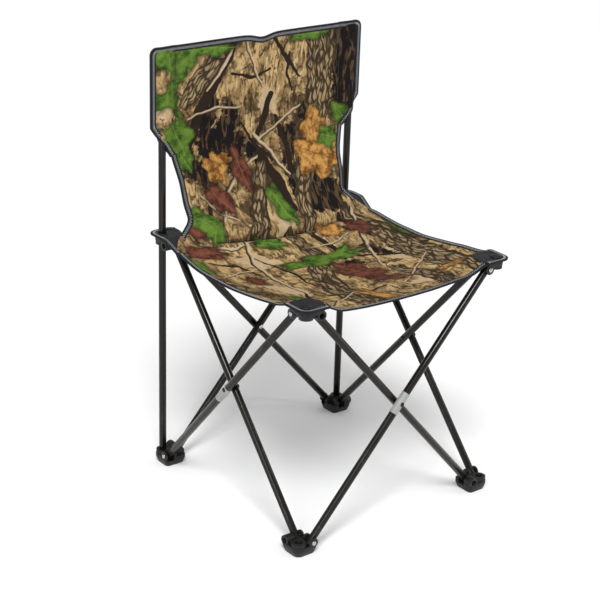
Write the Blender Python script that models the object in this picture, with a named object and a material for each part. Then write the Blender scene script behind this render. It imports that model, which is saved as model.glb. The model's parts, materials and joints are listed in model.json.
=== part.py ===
"""A folding camp chair with a square scissor frame and a cloth sling.

Frame: +Z up, the chair faces -Y, +X is to the right of whoever looks along +Y.
The origin is on the floor, at the centre of the square that the four feet make.

Each of the four sides is a pair of crossed steel tubes. The four corners are numbered
0 front left, 1 front right, 2 rear right and 3 rear left, and side k runs from corner k to
corner k + 1. The outer tube of side k goes from foot k up to the hub of corner k + 1, and the
inner tube goes from foot k + 1 up to the hub of corner k, so the frame has fourfold symmetry.
"""

import math

import bmesh
import bpy
from mathutils import Matrix, Vector

# ---------------------------------------------------------------- driving dimensions, metres
SPACING = 0.395           # corner centre to corner centre, along X and along Y
RISE = 0.403              # foot pins up to hub pins
FOOT_PIN_Z = 0.020        # foot pins above the floor
INSET = 0.018             # pins in from their corner centre, along their side
CROSS = 0.0071            # each tube of a pair sits this far to one side of its side's plane

TUBE_R = 0.0065           # steel tubes, outer radius
TUBE_WALL = 0.0009
TUBE_END = 0.006          # tube past its end pins
SLOT_SIDE = 0.0004        # air on each side of a tube in its slot
SLOT_END = 0.0006         # air past the corner of a tube's end as it turns

UPRIGHT_OUT = 0.0045      # uprights stand this far outside their corner centre, both ways
UPRIGHT_TOP = 0.752
SOCKET_FLOOR = -0.014     # bottom of the upright's socket, from the pins
GAP = 0.0003              # between touching pieces

PIN_R = 0.0022
PIN_BORE_R = 0.0026
PIN_HEAD_R = 0.0040
PIN_HEAD_H = 0.0018
RECESS_R = 0.0052
RIVET_HEAD_GAP = 0.0009   # crossing rivets clear the tubes and the labels by this

BLOCK_OUT = 0.0170        # corner mouldings, from the corner centre outwards
BLOCK_IN = 0.0268         # and inwards
BLOCK_CORNER_R = 0.0125   # radius of their outermost corner
BLOCK_EDGE_R = 0.008      # and of the other three
EAR_R = 0.0088            # rounded ears around the pins
BOSS_R = 0.0118           # wall around the upright's socket
FOOT_DEPTH = 0.020        # foot moulding below its pins
HUB_DEPTH = 0.012         # hub moulding above its pins
BLOCK_LIP = 0.0035        # both, past the pins on the open side
FOOT_TAPER = 0.16         # share of its width that a foot loses down to the floor
HUB_TAPER = 0.04

# Each pin runs blind into its far ear. These are measured along the pin from its corner centre:
# the ear's far face, the end of the bore and the end of the pin.
OUTER_EAR_END, OUTER_BORE_END, OUTER_PIN_END = 0.0052, 0.0042, 0.0032
INNER_EAR_END, INNER_BORE_END, INNER_PIN_END = 0.0184, 0.0176, 0.0169
RECESS_FLOOR = -0.0062    # the inner pin's head is sunk in a recess down to here
THROUGH = 0.03            # cutting shapes reach at least this far past what they cut

LABEL_LENGTH = 0.040
LABEL_WALL = 0.0003
LEFT_LABEL_SHIFT = -0.014 # middle of the left label, along its tube from the crossing

CLOTH = 0.0026            # sling solids, thickness
SLEEVE_FOOT_Z = 0.622     # lower end of the sleeves on the uprights
BACK_TOP_Z = 0.762
SEAM_X = 0.174            # stitched line on the inner side of each sleeve
SLEEVE_EDGE_X = 0.2245    # outer edge of each sleeve
CLOTH_CORNER_R = 0.0195   # rounded corners of the sling around the hubs' sockets
PATCH_REACH = 0.0280      # front patches, from the corner centre in along each side
PATCH_CUT = -0.0060       # and where their slanting inner edge ends
TAB_REACH = 0.0440        # rear tabs, from the corner centre forwards
TAB_SPAN = (-0.0030, 0.0070)
CHANNEL_EASE = 0.0028     # sleeve's outer face past the upright it goes round
SLEEVE_LID = 0.0035       # cloth over the upright's top
STEM_R = 0.0063           # plug of a front corner, in its hub's socket
STEM_LENGTH = 0.009
RING_R = 0.0112           # eyelets of the rear tabs
RING_H = 0.0011

CORNER_NAMES = ("front_left", "front_right", "rear_right", "rear_left")
SIDE_NAMES = ("front", "right", "rear", "left")
FRONT_LEFT, FRONT_RIGHT, REAR_RIGHT, REAR_LEFT = range(4)
FRONT, RIGHT, REAR, LEFT = range(4)

HUB_PIN_Z = FOOT_PIN_Z + RISE
HUB_TOP_Z = HUB_PIN_Z + HUB_DEPTH
TUBE_LENGTH = math.hypot(SPACING - 2 * INSET, RISE)
TUBE_ANGLE = math.atan2(RISE, SPACING - 2 * INSET)
UPRIGHT_XY = SPACING / 2 + UPRIGHT_OUT

# The sling's own line, seen from the side, and half its width there: at its edges and on its
# middle line, from the lower end of the sleeves down to the seat and on to the front edge.
SLING_EDGE = (
    (0.202, 0.6217, 0.1920), (0.200, 0.575, 0.1850), (0.190, 0.530, 0.1750), (0.175, 0.490, 0.1740),
    (0.153, 0.456, 0.1760), (0.112, 0.430, 0.1860), (0.060, 0.413, 0.2030), (-0.010, 0.406, 0.2070),
    (-0.090, 0.412, 0.2060), (-0.142, 0.424, 0.2000), (-0.167, 0.430, 0.1660), (-0.205, 0.4275, 0.1600),
)
SLING_MIDDLE = (
    (0.202, 0.6217), (0.199, 0.575), (0.187, 0.530), (0.168, 0.488),
    (0.140, 0.449), (0.098, 0.418), (0.050, 0.400), (-0.010, 0.392),
    (-0.085, 0.392), (-0.140, 0.398), (-0.170, 0.403), (-0.207, 0.4085),
)
SLING_APEX = 2.35         # where the lower back parts from the middle back, in sling points
SLING_CENTRE = 7.0        # where the front half of the seat parts from the rear half
SLING_CUT = 0.004         # half the gap between two of them, in sling points

ROUND, TUBE_SIDES, RECESS_SIDES, BORE_SIDES = 20, 16, 12, 8    # segments of the round shapes


# ---------------------------------------------------------------- materials
def material(name, colour, roughness, metallic=0.0):
    finish = bpy.data.materials.new(name)
    finish.use_nodes = True
    shader = finish.node_tree.nodes["Principled BSDF"]
    shader.inputs["Base Color"].default_value = (*colour, 1.0)
    shader.inputs["Roughness"].default_value = roughness
    shader.inputs["Metallic"].default_value = metallic
    finish.diffuse_color = (*colour, 1.0)
    return finish


def make_materials():
    return {
        "tube": material("powder_coated_steel", (0.022, 0.020, 0.016), 0.36, 0.35),
        "moulding": material("black_moulded_nylon", (0.013, 0.013, 0.014), 0.48),
        "pin": material("bright_rivet_steel", (0.60, 0.59, 0.57), 0.30, 1.0),
        "label": material("grey_label", (0.33, 0.33, 0.31), 0.50),
        "print": material("printed_sling_cloth", (0.17, 0.12, 0.065), 0.85),
        "patch": material("black_reinforcing_cloth", (0.022, 0.023, 0.026), 0.80),
    }


# ---------------------------------------------------------------- mesh helpers
def circle(radius, z, segments):
    step = 2 * math.pi / segments
    return [Vector((radius * math.cos(i * step), radius * math.sin(i * step), z)) for i in range(segments)]


def skin(bm, lower, upper):
    """Faces between two rings of the same count, or from a ring to a single point."""
    count = max(len(lower), len(upper))
    for i in range(count):
        j = (i + 1) % count
        if len(lower) == 1:
            bm.faces.new((lower[0], upper[j], upper[i]))
        elif len(upper) == 1:
            bm.faces.new((lower[i], lower[j], upper[0]))
        else:
            bm.faces.new((lower[i], lower[j], upper[j], upper[i]))


def finished_mesh(name, bm, smooth_angle=40):
    bmesh.ops.recalc_face_normals(bm, faces=bm.faces)
    mesh = bpy.data.meshes.new(name)
    bm.to_mesh(mesh)
    bm.free()
    mesh.shade_smooth()
    mesh.set_sharp_from_angle(angle=math.radians(smooth_angle))
    return mesh


def stack(name, rings, loop=False):
    """A closed body from rings of points; a ring of one point closes it like a cone's tip."""
    bm = bmesh.new()
    made = [[bm.verts.new(point) for point in ring] for ring in rings]
    for lower, upper in zip(made, made[1:]):
        skin(bm, lower, upper)
    if loop:
        skin(bm, made[-1], made[0])
    else:
        for ring in (made[0], made[-1]):
            if len(ring) > 1:
                bm.faces.new(ring)
    return finished_mesh(name, bm)


def turned(name, profile, segments, loop=False):
    """Turns (radius, z) points about Z; loop=True joins the last point to the first."""
    rings = [circle(r, z, segments) if r > 0 else [Vector((0, 0, z))] for r, z in profile]
    return stack(name, rings, loop)


def hollow_tube(name, inner, outer, bottom, top, segments):
    profile = ((outer, bottom), (outer, top), (inner, top), (inner, bottom))
    return turned(name, profile, segments, loop=True)


def rod(name, radius, start, end, segments=ROUND):
    """A plain cylinder between two points; used to join and to cut shapes."""
    along = Vector(end) - Vector(start)
    mesh = stack(name, [circle(radius, 0, segments), circle(radius, along.length, segments)])
    turn = along.to_track_quat("Z", "Y").to_matrix().to_4x4()
    mesh.transform(Matrix.Translation(start) @ turn)
    return mesh


def block(name, low, high):
    (x0, y0, z0), (x1, y1, z1) = low, high
    corners = ((x0, y0), (x1, y0), (x1, y1), (x0, y1))
    return stack(name, [[Vector((x, y, z)) for x, y in corners] for z in (z0, z1)])


def combine(mesh, tool_mesh, operation):
    """The mesh after one Boolean with a tool, both in the same frame."""
    target = bpy.data.objects.new("target", mesh)
    tool = bpy.data.objects.new("tool", tool_mesh)
    for thing in (target, tool):
        bpy.context.collection.objects.link(thing)
    modifier = target.modifiers.new(operation.title(), "BOOLEAN")
    modifier.operation = operation
    modifier.solver = "EXACT"
    modifier.object = tool
    evaluated = target.evaluated_get(bpy.context.evaluated_depsgraph_get())
    result = bpy.data.meshes.new_from_object(evaluated)
    result.name = mesh.name
    for thing in (target, tool):
        bpy.data.objects.remove(thing)
    return result


def rounded_rectangle(low, high, radii, z, segments=5):
    """Points anticlockwise from the lower left corner; radii in the same order."""
    corners = ((low, low), (high, low), (high, high), (low, high))
    points = []
    for index, ((x, y), radius) in enumerate(zip(corners, radii)):
        centre = Vector((x + math.copysign(radius, -x), y + math.copysign(radius, -y), z))
        for i in range(segments + 1):
            angle = math.pi + math.pi / 2 * (index + i / segments)
            points.append(centre + Vector((radius * math.cos(angle), radius * math.sin(angle), 0)))
    return points


# ---------------------------------------------------------------- object helpers
class Body:
    """An empty on a joint's axis, which carries the pieces that move together."""

    def __init__(self, name, place, parent=None):
        self.place = Vector(place)
        self.empty = bpy.data.objects.new("joint_" + name, None)
        self.empty.empty_display_size = 0.02
        bpy.context.collection.objects.link(self.empty)
        if parent:
            self.empty.parent = parent.empty
            self.empty.location = self.place - parent.place
        else:
            self.empty.location = self.place

    def add(self, name, mesh, finish, matrix=Matrix.Identity(4)):
        """A node whose mesh, placed by matrix in the chair's frame, moves with this body."""
        thing = bpy.data.objects.new(name, mesh)
        if not mesh.materials:
            mesh.materials.append(finish)
        bpy.context.collection.objects.link(thing)
        thing.parent = self.empty
        thing.matrix_basis = Matrix.Translation(-self.place) @ matrix
        return thing


def corner_frame(corner, z):
    """Local +X and +Y run inwards along the two sides that meet at the corner."""
    turn = Matrix.Rotation(math.pi / 2 * corner, 4, "Z")
    return turn @ Matrix.Translation((-SPACING / 2, -SPACING / 2, z))


def turned_over(frame):
    """The same moulding upside down: X and Y change places and Z points down."""
    return frame @ Matrix.Rotation(math.pi, 4, Vector((1, 1, 0)).normalized())


def side_frame(side):
    """Local +X runs along the side from corner to corner, +Y inwards, from the foot pins' level."""
    turn = Matrix.Rotation(math.pi / 2 * side, 4, "Z")
    return turn @ Matrix.Translation((0, -SPACING / 2, FOOT_PIN_Z))


def pin_point(corner, kind, z):
    """World position of a pin at a foot; turned over, the same rule gives a hub's pins."""
    local = {"outer": (INSET, -CROSS, 0), "inner": (CROSS, INSET, 0)}[kind]
    return corner_frame(corner, z) @ Vector(local)


# ---------------------------------------------------------------- corner mouldings
def upright_rod(name, radius, bottom, top, segments=ROUND):
    """A cylinder on the upright's axis, in a corner's frame."""
    at = (-UPRIGHT_OUT, -UPRIGHT_OUT)
    return rod(name, radius, (*at, bottom), (*at, top), segments)


def corner_moulding(name, depth, taper, socket_r, socket_floor):
    """The shared foot and hub moulding, base downwards, in the corner's frame.

    The outer tube runs along X at y = -CROSS and the inner tube along Y at x = CROSS. Each
    turns between two ears on its own pin, and the socket for an upright is near the corner.
    """
    radii = (BLOCK_CORNER_R, BLOCK_EDGE_R, BLOCK_EDGE_R, BLOCK_EDGE_R)
    middle = (BLOCK_IN - BLOCK_OUT) / 2
    shrink = Matrix.Translation((middle, middle, 0)) @ Matrix.Diagonal((1 - taper, 1 - taper, 1, 1))
    shrink = shrink @ Matrix.Translation((-middle, -middle, 0))
    full = rounded_rectangle(-BLOCK_OUT, BLOCK_IN, radii, 0)
    rings = [[shrink @ (point + Vector((0, 0, -depth))) for point in full]]
    for z in (-0.35 * depth - 0.003, -BLOCK_LIP):
        rings.append([point + Vector((0, 0, z)) for point in full])
    mesh = stack(name, rings)
    web_out = 0.7 * BLOCK_OUT
    pieces = (
        upright_rod("boss", BOSS_R, -0.6 * depth, BLOCK_LIP),
        rod("outer_ears", EAR_R, (INSET, -BLOCK_OUT + 0.0004, 0), (INSET, OUTER_EAR_END, 0)),
        rod("inner_ears", EAR_R + 0.0001, (-BLOCK_OUT + 0.0006, INSET, 0), (INNER_EAR_END, INSET, 0)),
        block("web", (-web_out - 0.0002, -web_out, -depth * 0.5), (INSET, INSET + GAP, BLOCK_LIP - 0.0008)),
    )
    for piece in pieces:
        mesh = combine(mesh, piece, "UNION")
    reach = math.hypot(TUBE_END, TUBE_R) + SLOT_END
    half = TUBE_R + SLOT_SIDE
    start = INSET - reach
    past = BLOCK_IN + THROUGH
    cuts = (
        block("outer_slot", (start, -CROSS - half, -reach), (past, -CROSS + half, past)),
        block("inner_slot", (CROSS - half, start, -reach), (CROSS + half, past, past)),
        upright_rod("socket", socket_r, socket_floor, THROUGH, TUBE_SIDES),
        rod("outer_bore", PIN_BORE_R, (INSET, -THROUGH, 0), (INSET, OUTER_BORE_END, 0), BORE_SIDES),
        rod("inner_bore", PIN_BORE_R, (-THROUGH, INSET, 0), (INNER_BORE_END, INSET, 0), BORE_SIDES),
        rod("recess", RECESS_R, (-THROUGH, INSET, 0), (RECESS_FLOOR, INSET, 0), RECESS_SIDES),
    )
    for cut in cuts:
        mesh = combine(mesh, cut, "DIFFERENCE")
    mesh.shade_smooth()
    mesh.set_sharp_from_angle(angle=math.radians(35))
    return mesh


def pin_mesh(name, length):
    """A rivet with its domed head above z = 0 and its shank below."""
    profile = (
        (0, -length), (PIN_R, -length), (PIN_R, 0.0), (PIN_HEAD_R, 0.0),
        (0.88 * PIN_HEAD_R, 0.5 * PIN_HEAD_H), (0.55 * PIN_HEAD_R, 0.88 * PIN_HEAD_H), (0, PIN_HEAD_H),
    )
    return turned(name, profile, BORE_SIDES)


def add_corner_pins(body, prefix, frame, meshes, finish):
    """The outer and inner pivot pins of one moulding."""
    outwards_y = Matrix.Rotation(math.pi / 2, 4, "X")
    outwards_x = Matrix.Rotation(-math.pi / 2, 4, "Y")
    outer = frame @ Matrix.Translation((INSET, -BLOCK_OUT - GAP, 0)) @ outwards_y
    inner = frame @ Matrix.Translation((RECESS_FLOOR - GAP, INSET, 0)) @ outwards_x
    body.add(prefix + "_outer", meshes["outer_pin"], finish, outer)
    body.add(prefix + "_inner", meshes["inner_pin"], finish, inner)


# ---------------------------------------------------------------- tubes
def cross_bore(z):
    return rod("bore", PIN_BORE_R, (0, -THROUGH, z), (0, THROUGH, z), BORE_SIDES)


def cross_tube_mesh():
    """One scissor tube along +Z from its lower pin, bored across for its three pins."""
    inner = TUBE_R - TUBE_WALL
    mesh = hollow_tube("cross_tube", inner, TUBE_R, -TUBE_END, TUBE_LENGTH + TUBE_END, TUBE_SIDES)
    for z in (0, TUBE_LENGTH / 2, TUBE_LENGTH):
        mesh = combine(mesh, cross_bore(z), "DIFFERENCE")
    mesh.shade_smooth()
    mesh.set_sharp_from_angle(angle=math.radians(35))
    return mesh


def tube_matrix(side, kind):
    """Outer tubes lean along +X of their side and inner tubes along -X."""
    lean = 1 if kind == "outer" else -1
    foot = Vector((-lean * (SPACING / 2 - INSET), -lean * CROSS, 0))
    turn = Matrix.Rotation(lean * (math.pi / 2 - TUBE_ANGLE), 4, "Y")
    return side_frame(side) @ Matrix.Translation(foot) @ turn


def crossing_point(side):
    return side_frame(side) @ Vector((0, 0, RISE / 2))


def rivet_mesh():
    """The crossing rivet along Z, headed at both ends."""
    reach = CROSS + TUBE_R + RIVET_HEAD_GAP
    head = ((PIN_R, reach), (PIN_HEAD_R, reach), (0.88 * PIN_HEAD_R, reach + 0.5 * PIN_HEAD_H),
            (0.55 * PIN_HEAD_R, reach + 0.88 * PIN_HEAD_H), (0, reach + PIN_HEAD_H))
    tail = tuple((r, -z) for r, z in reversed(head))
    return turned("crossing_rivet", tail + head, BORE_SIDES)


def label_mesh(bore_at):
    """A blank sticker wrapped round a tube, with a hole at bore_at for the crossing rivet."""
    inner = TUBE_R + GAP
    mesh = hollow_tube("label", inner, inner + LABEL_WALL, -LABEL_LENGTH / 2, LABEL_LENGTH / 2, TUBE_SIDES)
    mesh = combine(mesh, cross_bore(bore_at), "DIFFERENCE")
    mesh.shade_smooth()
    return mesh


# ---------------------------------------------------------------- sling
def between(points, t):
    """The point at t on straight runs between the points, t counting from 0."""
    index = min(int(t), len(points) - 2)
    share = t - index
    return [a + (b - a) * share for a, b in zip(points[index], points[index + 1])]


def sling_point(u, t, side):
    """A point of the sling's surface, or of its upper or lower face with side = 1 or -1."""
    def middle(at):
        y, z, width = between(SLING_EDGE, at)
        my, mz = between(SLING_MIDDLE, at)
        bulge = 1 - u * u
        return Vector((u * width, y + (my - y) * bulge, z + (mz - z) * bulge))
    step = 0.01
    last = len(SLING_EDGE) - 1
    along = middle(min(t + step, last)) - middle(max(t - step, 0))
    normal = Vector((0, -along.z, along.y)).normalized()
    if normal.z < 0:
        normal.negate()
    return middle(t) + normal * (side * CLOTH / 2)


def sling_solid(name, start, end, rows, columns):
    """A closed slab between two places on the sling, rows along it and columns across."""
    rings = []
    for row in range(rows + 1):
        t = start + (end - start) * row / rows
        across = [-1 + 2 * column / columns for column in range(columns + 1)]
        upper = [sling_point(u, t, 1) for u in across]
        lower = [sling_point(u, t, -1) for u in reversed(across)]
        rings.append(upper + lower)
    return stack(name, rings)


def sleeve_mesh(name, mirror):
    """A flat sewn hem and a channel around the upright, closed over the upright's top."""
    upright = UPRIGHT_XY
    half = CLOTH / 2
    bulge = TUBE_R + CHANNEL_EASE
    section = [(SLEEVE_EDGE_X, half), (upright + bulge + 0.004, half)]
    for i in range(7):
        angle = math.pi * (0.12 + 0.76 * i / 6)
        section.append((upright + bulge * math.cos(angle) * 1.05, bulge * math.sin(angle)))
    section += [(upright - bulge - 0.006, half), (SEAM_X + GAP, half)]
    section += [(x, -y) for x, y in reversed(section)]
    if mirror:
        section = [(-x, y) for x, y in reversed(section)]
    rings = [[Vector((x, upright + y, z)) for x, y in section] for z in (SLEEVE_FOOT_Z, BACK_TOP_Z)]
    mesh = stack(name, rings)
    at = -upright if mirror else upright
    low, high = SLEEVE_FOOT_Z - THROUGH, BACK_TOP_Z - SLEEVE_LID
    bore = rod("bore", TUBE_R + 2 * GAP, (at, upright, low), (at, upright, high))
    return combine(mesh, bore, "DIFFERENCE")


def corner_cloth(name, start, end, count, tail, hole_r):
    """A cloth corner with a hole, round from one angle to another, in a corner's frame."""
    outline = []
    for i in range(count + 1):
        angle = math.radians(start + (end - start) * i / count)
        outline.append((CLOTH_CORNER_R * math.cos(angle) - UPRIGHT_OUT,
                        CLOTH_CORNER_R * math.sin(angle) - UPRIGHT_OUT))
    rings = [[Vector((x, y, z)) for x, y in (*outline, *tail)] for z in (GAP, GAP + CLOTH)]
    return combine(stack(name, rings), upright_rod("hole", hole_r, -THROUGH, THROUGH), "DIFFERENCE")


def front_patch_mesh():
    """The reinforced corner over a front hub, above the moulding."""
    tail = ((PATCH_REACH, PATCH_CUT), (PATCH_CUT, PATCH_REACH))
    return corner_cloth("front_patch", 135, 315, 10, tail, STEM_R + 0.0005)


def rear_tab_mesh():
    """The loop of webbing that holds a rear corner of the sling on its upright."""
    tail = ((TAB_SPAN[1], TAB_REACH), (TAB_SPAN[0], TAB_REACH))
    return corner_cloth("rear_tab", 110, 340, 12, tail, TUBE_R + 3 * GAP)


def cap_mesh():
    """The domed plug over a front corner, its stem in the hub's socket."""
    profile = (
        (0, -STEM_LENGTH), (STEM_R, -STEM_LENGTH), (STEM_R, 0),
        (0.0094, 0), (0.0090, 0.0022), (0.0062, 0.0036), (0, 0.0041),
    )
    return turned("corner_cap", profile, TUBE_SIDES)


def eyelet_mesh():
    inner = TUBE_R + 3 * GAP
    profile = ((inner, 0), (RING_R, 0), (RING_R - 0.0006, RING_H), (inner + GAP, RING_H))
    return turned("eyelet", profile, TUBE_SIDES, loop=True)


def plug_mesh():
    """The plastic end plug in an upright's top."""
    inner = TUBE_R - TUBE_WALL - GAP
    profile = ((0, -0.010), (inner, -0.010), (inner, GAP), (TUBE_R, GAP), (0.0052, 0.0026), (0, 0.0034))
    return turned("upright_plug", profile, TUBE_SIDES)


# ---------------------------------------------------------------- assembly
def make_bodies():
    """The tree of joints: the left upright and its foot are the fixed root."""
    bodies = {"root": Body("root", corner_frame(REAR_LEFT, FOOT_PIN_Z).translation)}

    def hang(name, place, parent):
        bodies[name] = Body(name, place, bodies[parent])

    def hub_pin(corner, kind):
        local = Vector({"outer": (-CROSS, INSET, 0), "inner": (INSET, CROSS, 0)}[kind])
        return corner_frame(corner, HUB_PIN_Z) @ local

    def foot_pin(corner, kind):
        return pin_point(corner, kind, FOOT_PIN_Z)

    hang("rear_inner", foot_pin(REAR_LEFT, "inner"), "root")
    hang("rear_outer", crossing_point(REAR), "rear_inner")
    hang("slider_left", hub_pin(REAR_LEFT, "outer"), "rear_outer")
    hang("foot_rear_right", foot_pin(REAR_RIGHT, "outer"), "rear_outer")
    hang("slider_right", hub_pin(REAR_RIGHT, "inner"), "rear_inner")
    hang("right_inner", foot_pin(REAR_RIGHT, "inner"), "foot_rear_right")
    hang("right_outer", crossing_point(RIGHT), "right_inner")
    hang("foot_front_right", foot_pin(FRONT_RIGHT, "outer"), "right_outer")
    hang("hub_front_right", hub_pin(FRONT_RIGHT, "inner"), "right_inner")
    hang("left_outer", foot_pin(REAR_LEFT, "outer"), "root")
    hang("left_inner", crossing_point(LEFT), "left_outer")
    hang("hub_front_left", hub_pin(FRONT_LEFT, "outer"), "left_outer")
    hang("foot_front_left", foot_pin(FRONT_LEFT, "inner"), "left_inner")
    hang("front_outer", foot_pin(FRONT_LEFT, "outer"), "foot_front_left")
    hang("front_inner", crossing_point(FRONT), "front_outer")
    hang("sling_middle", (0, SLING_EDGE[0][0], SLEEVE_FOOT_Z), "root")
    hang("sling_rear", (0, 0.160, 0.440), "slider_left")
    hang("sling_front", (0, -0.190, 0.4365), "hub_front_left")
    return bodies


def build():
    for thing in list(bpy.data.objects):
        bpy.data.objects.remove(thing, do_unlink=True)
    finish = make_materials()
    bodies = make_bodies()
    foot_body = ("foot_front_left", "foot_front_right", "foot_rear_right", "root")
    hub_body = ("hub_front_left", "hub_front_right", "slider_right", "slider_left")

    # Corner mouldings and their pivot pins.
    socket_r = TUBE_R + GAP
    slide_r = TUBE_R + 2 * GAP
    foot = corner_moulding("foot", FOOT_DEPTH, FOOT_TAPER, socket_r, SOCKET_FLOOR)
    slide = corner_moulding("slide", HUB_DEPTH, HUB_TAPER, slide_r, -THROUGH)
    pins = {
        "outer_pin": pin_mesh("outer_pin", BLOCK_OUT + GAP + OUTER_PIN_END),
        "inner_pin": pin_mesh("inner_pin", GAP - RECESS_FLOOR + INNER_PIN_END),
    }
    for corner, name in enumerate(CORNER_NAMES):
        rear = name.startswith("rear")
        at_foot = corner_frame(corner, FOOT_PIN_Z)
        at_hub = turned_over(corner_frame(corner, HUB_PIN_Z))
        body = bodies[foot_body[corner]]
        body.add("foot_" + name, foot, finish["moulding"], at_foot)
        add_corner_pins(body, "foot_pin_" + name, at_foot, pins, finish["pin"])
        body = bodies[hub_body[corner]]
        body.add(("slider_" if rear else "hub_") + name, slide, finish["moulding"], at_hub)
        add_corner_pins(body, ("slider_pin_" if rear else "hub_pin_") + name, at_hub, pins, finish["pin"])

    # Crossed tubes, their rivets and the two labels.
    tube = cross_tube_mesh()
    rivet = rivet_mesh()
    first_tube = {FRONT: "outer", RIGHT: "inner", REAR: "inner", LEFT: "outer"}
    for side, name in enumerate(SIDE_NAMES):
        for kind in ("outer", "inner"):
            body = bodies[name + "_" + kind]
            body.add(name + "_tube_" + kind, tube, finish["tube"], tube_matrix(side, kind))
        crossing = side_frame(side) @ Matrix.Translation((0, 0, RISE / 2))
        across = crossing @ Matrix.Rotation(math.pi / 2, 4, "X")
        bodies[name + "_" + first_tube[side]].add("rivet_" + name, rivet, finish["pin"], across)
    for name, side, shift in (("front", FRONT, 0.0), ("left", LEFT, LEFT_LABEL_SHIFT)):
        place = tube_matrix(side, "outer") @ Matrix.Translation((0, 0, TUBE_LENGTH / 2 + shift))
        bodies[name + "_outer"].add("label_" + name, label_mesh(-shift), finish["label"], place)

    # Uprights with their plugs.
    bottom = FOOT_PIN_Z + SOCKET_FLOOR + GAP
    upright = hollow_tube("upright", TUBE_R - TUBE_WALL, TUBE_R, 0, UPRIGHT_TOP - bottom, TUBE_SIDES)
    plug = plug_mesh()
    for name, sign, body in (("left", -1, bodies["root"]), ("right", 1, bodies["foot_rear_right"])):
        foot_point = Vector((sign * UPRIGHT_XY, UPRIGHT_XY, bottom))
        body.add("upright_" + name, upright, finish["tube"], Matrix.Translation(foot_point))
        top = Matrix.Translation((foot_point.x, foot_point.y, UPRIGHT_TOP))
        body.add("upright_plug_" + name, plug, finish["moulding"], top)
        body.add("sleeve_" + name, sleeve_mesh("sleeve_" + name, sign < 0), finish["print"])

    # Corner cloths, caps and eyelets.
    patch, cap = front_patch_mesh(), cap_mesh()
    tab, eyelet = rear_tab_mesh(), eyelet_mesh()
    tab_mirrored = tab.copy()
    tab_mirrored.transform(Matrix.Rotation(math.pi, 4, Vector((1, 1, 0)).normalized()))
    tab_mirrored.transform(Matrix.Translation((0, 0, 2 * GAP + CLOTH)))
    over_hub = Matrix.Translation((-UPRIGHT_OUT, -UPRIGHT_OUT, 2 * GAP + CLOTH))
    for corner in (FRONT_LEFT, FRONT_RIGHT):
        name = CORNER_NAMES[corner]
        frame = corner_frame(corner, HUB_TOP_Z)
        bodies["hub_" + name].add("corner_patch_" + name, patch, finish["patch"], frame)
        bodies["hub_" + name].add("corner_cap_" + name, cap, finish["moulding"], frame @ over_hub)
    for corner, name, mesh in ((REAR_LEFT, "left", tab_mirrored), (REAR_RIGHT, "right", tab)):
        frame = corner_frame(corner, HUB_TOP_Z)
        bodies["slider_" + name].add("rear_tab_" + name, mesh, finish["patch"], frame)
        bodies["slider_" + name].add("eyelet_" + name, eyelet, finish["moulding"], frame @ over_hub)

    # The sling, in the four runs that fold differently.
    low = (-SEAM_X, UPRIGHT_XY - CLOTH / 2, SLEEVE_FOOT_Z)
    high = (SEAM_X, UPRIGHT_XY + CLOTH / 2, BACK_TOP_Z)
    back = block("back_panel", low, high)
    bodies["root"].add("back_panel", back, finish["print"])
    last = len(SLING_EDGE) - 1
    runs = (
        ("sling_middle", "lower_back", 0.0, SLING_APEX - SLING_CUT, 4, 6),
        ("sling_rear", "seat_rear", SLING_APEX + SLING_CUT, SLING_CENTRE - SLING_CUT, 10, 8),
        ("sling_front", "seat_front", SLING_CENTRE + SLING_CUT, last, 6, 8),
    )
    for body, node, start, end, rows, columns in runs:
        bodies[body].add(node, sling_solid(node, start, end, rows, columns), finish["print"])


build()
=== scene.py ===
# %% [markdown]
# # A folding camp chair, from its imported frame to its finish
# The frame gives every tube, moulding and pin its place. This lesson adds what the frame leaves
# plain: the printed sling, its bindings and stitches, and a finish for each material. It starts
# by loading the frame and keeping its size, so that the finished chair can be held against it.

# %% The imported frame
import json
import math

import bpy
import numpy as np
from mathutils import Matrix, Vector


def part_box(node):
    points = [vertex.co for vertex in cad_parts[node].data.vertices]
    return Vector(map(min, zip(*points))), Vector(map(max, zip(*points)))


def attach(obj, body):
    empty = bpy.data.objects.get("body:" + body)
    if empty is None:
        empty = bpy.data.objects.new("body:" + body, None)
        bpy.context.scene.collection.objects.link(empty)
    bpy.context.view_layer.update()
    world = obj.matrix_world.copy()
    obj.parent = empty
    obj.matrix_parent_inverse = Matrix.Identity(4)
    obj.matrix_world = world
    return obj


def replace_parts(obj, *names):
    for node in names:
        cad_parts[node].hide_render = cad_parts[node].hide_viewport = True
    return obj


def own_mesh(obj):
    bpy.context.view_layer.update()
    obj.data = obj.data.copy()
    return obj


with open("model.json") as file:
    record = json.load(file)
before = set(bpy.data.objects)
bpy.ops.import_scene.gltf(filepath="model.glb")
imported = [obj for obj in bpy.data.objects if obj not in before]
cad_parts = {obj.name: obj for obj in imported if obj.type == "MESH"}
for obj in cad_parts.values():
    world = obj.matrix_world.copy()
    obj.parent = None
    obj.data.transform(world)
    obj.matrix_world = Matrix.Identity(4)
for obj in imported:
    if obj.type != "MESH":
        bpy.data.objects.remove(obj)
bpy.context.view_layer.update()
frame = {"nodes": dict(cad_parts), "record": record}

MM = 0.001

# %% [markdown]
# ## Camera
# The chair is seen from its front left and from above. A long lens keeps the square of feet
# nearly square. The camera's turn is written as its own right, down and forward directions,
# which is plainer than three angles when the view has been worked out from known points.

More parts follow.
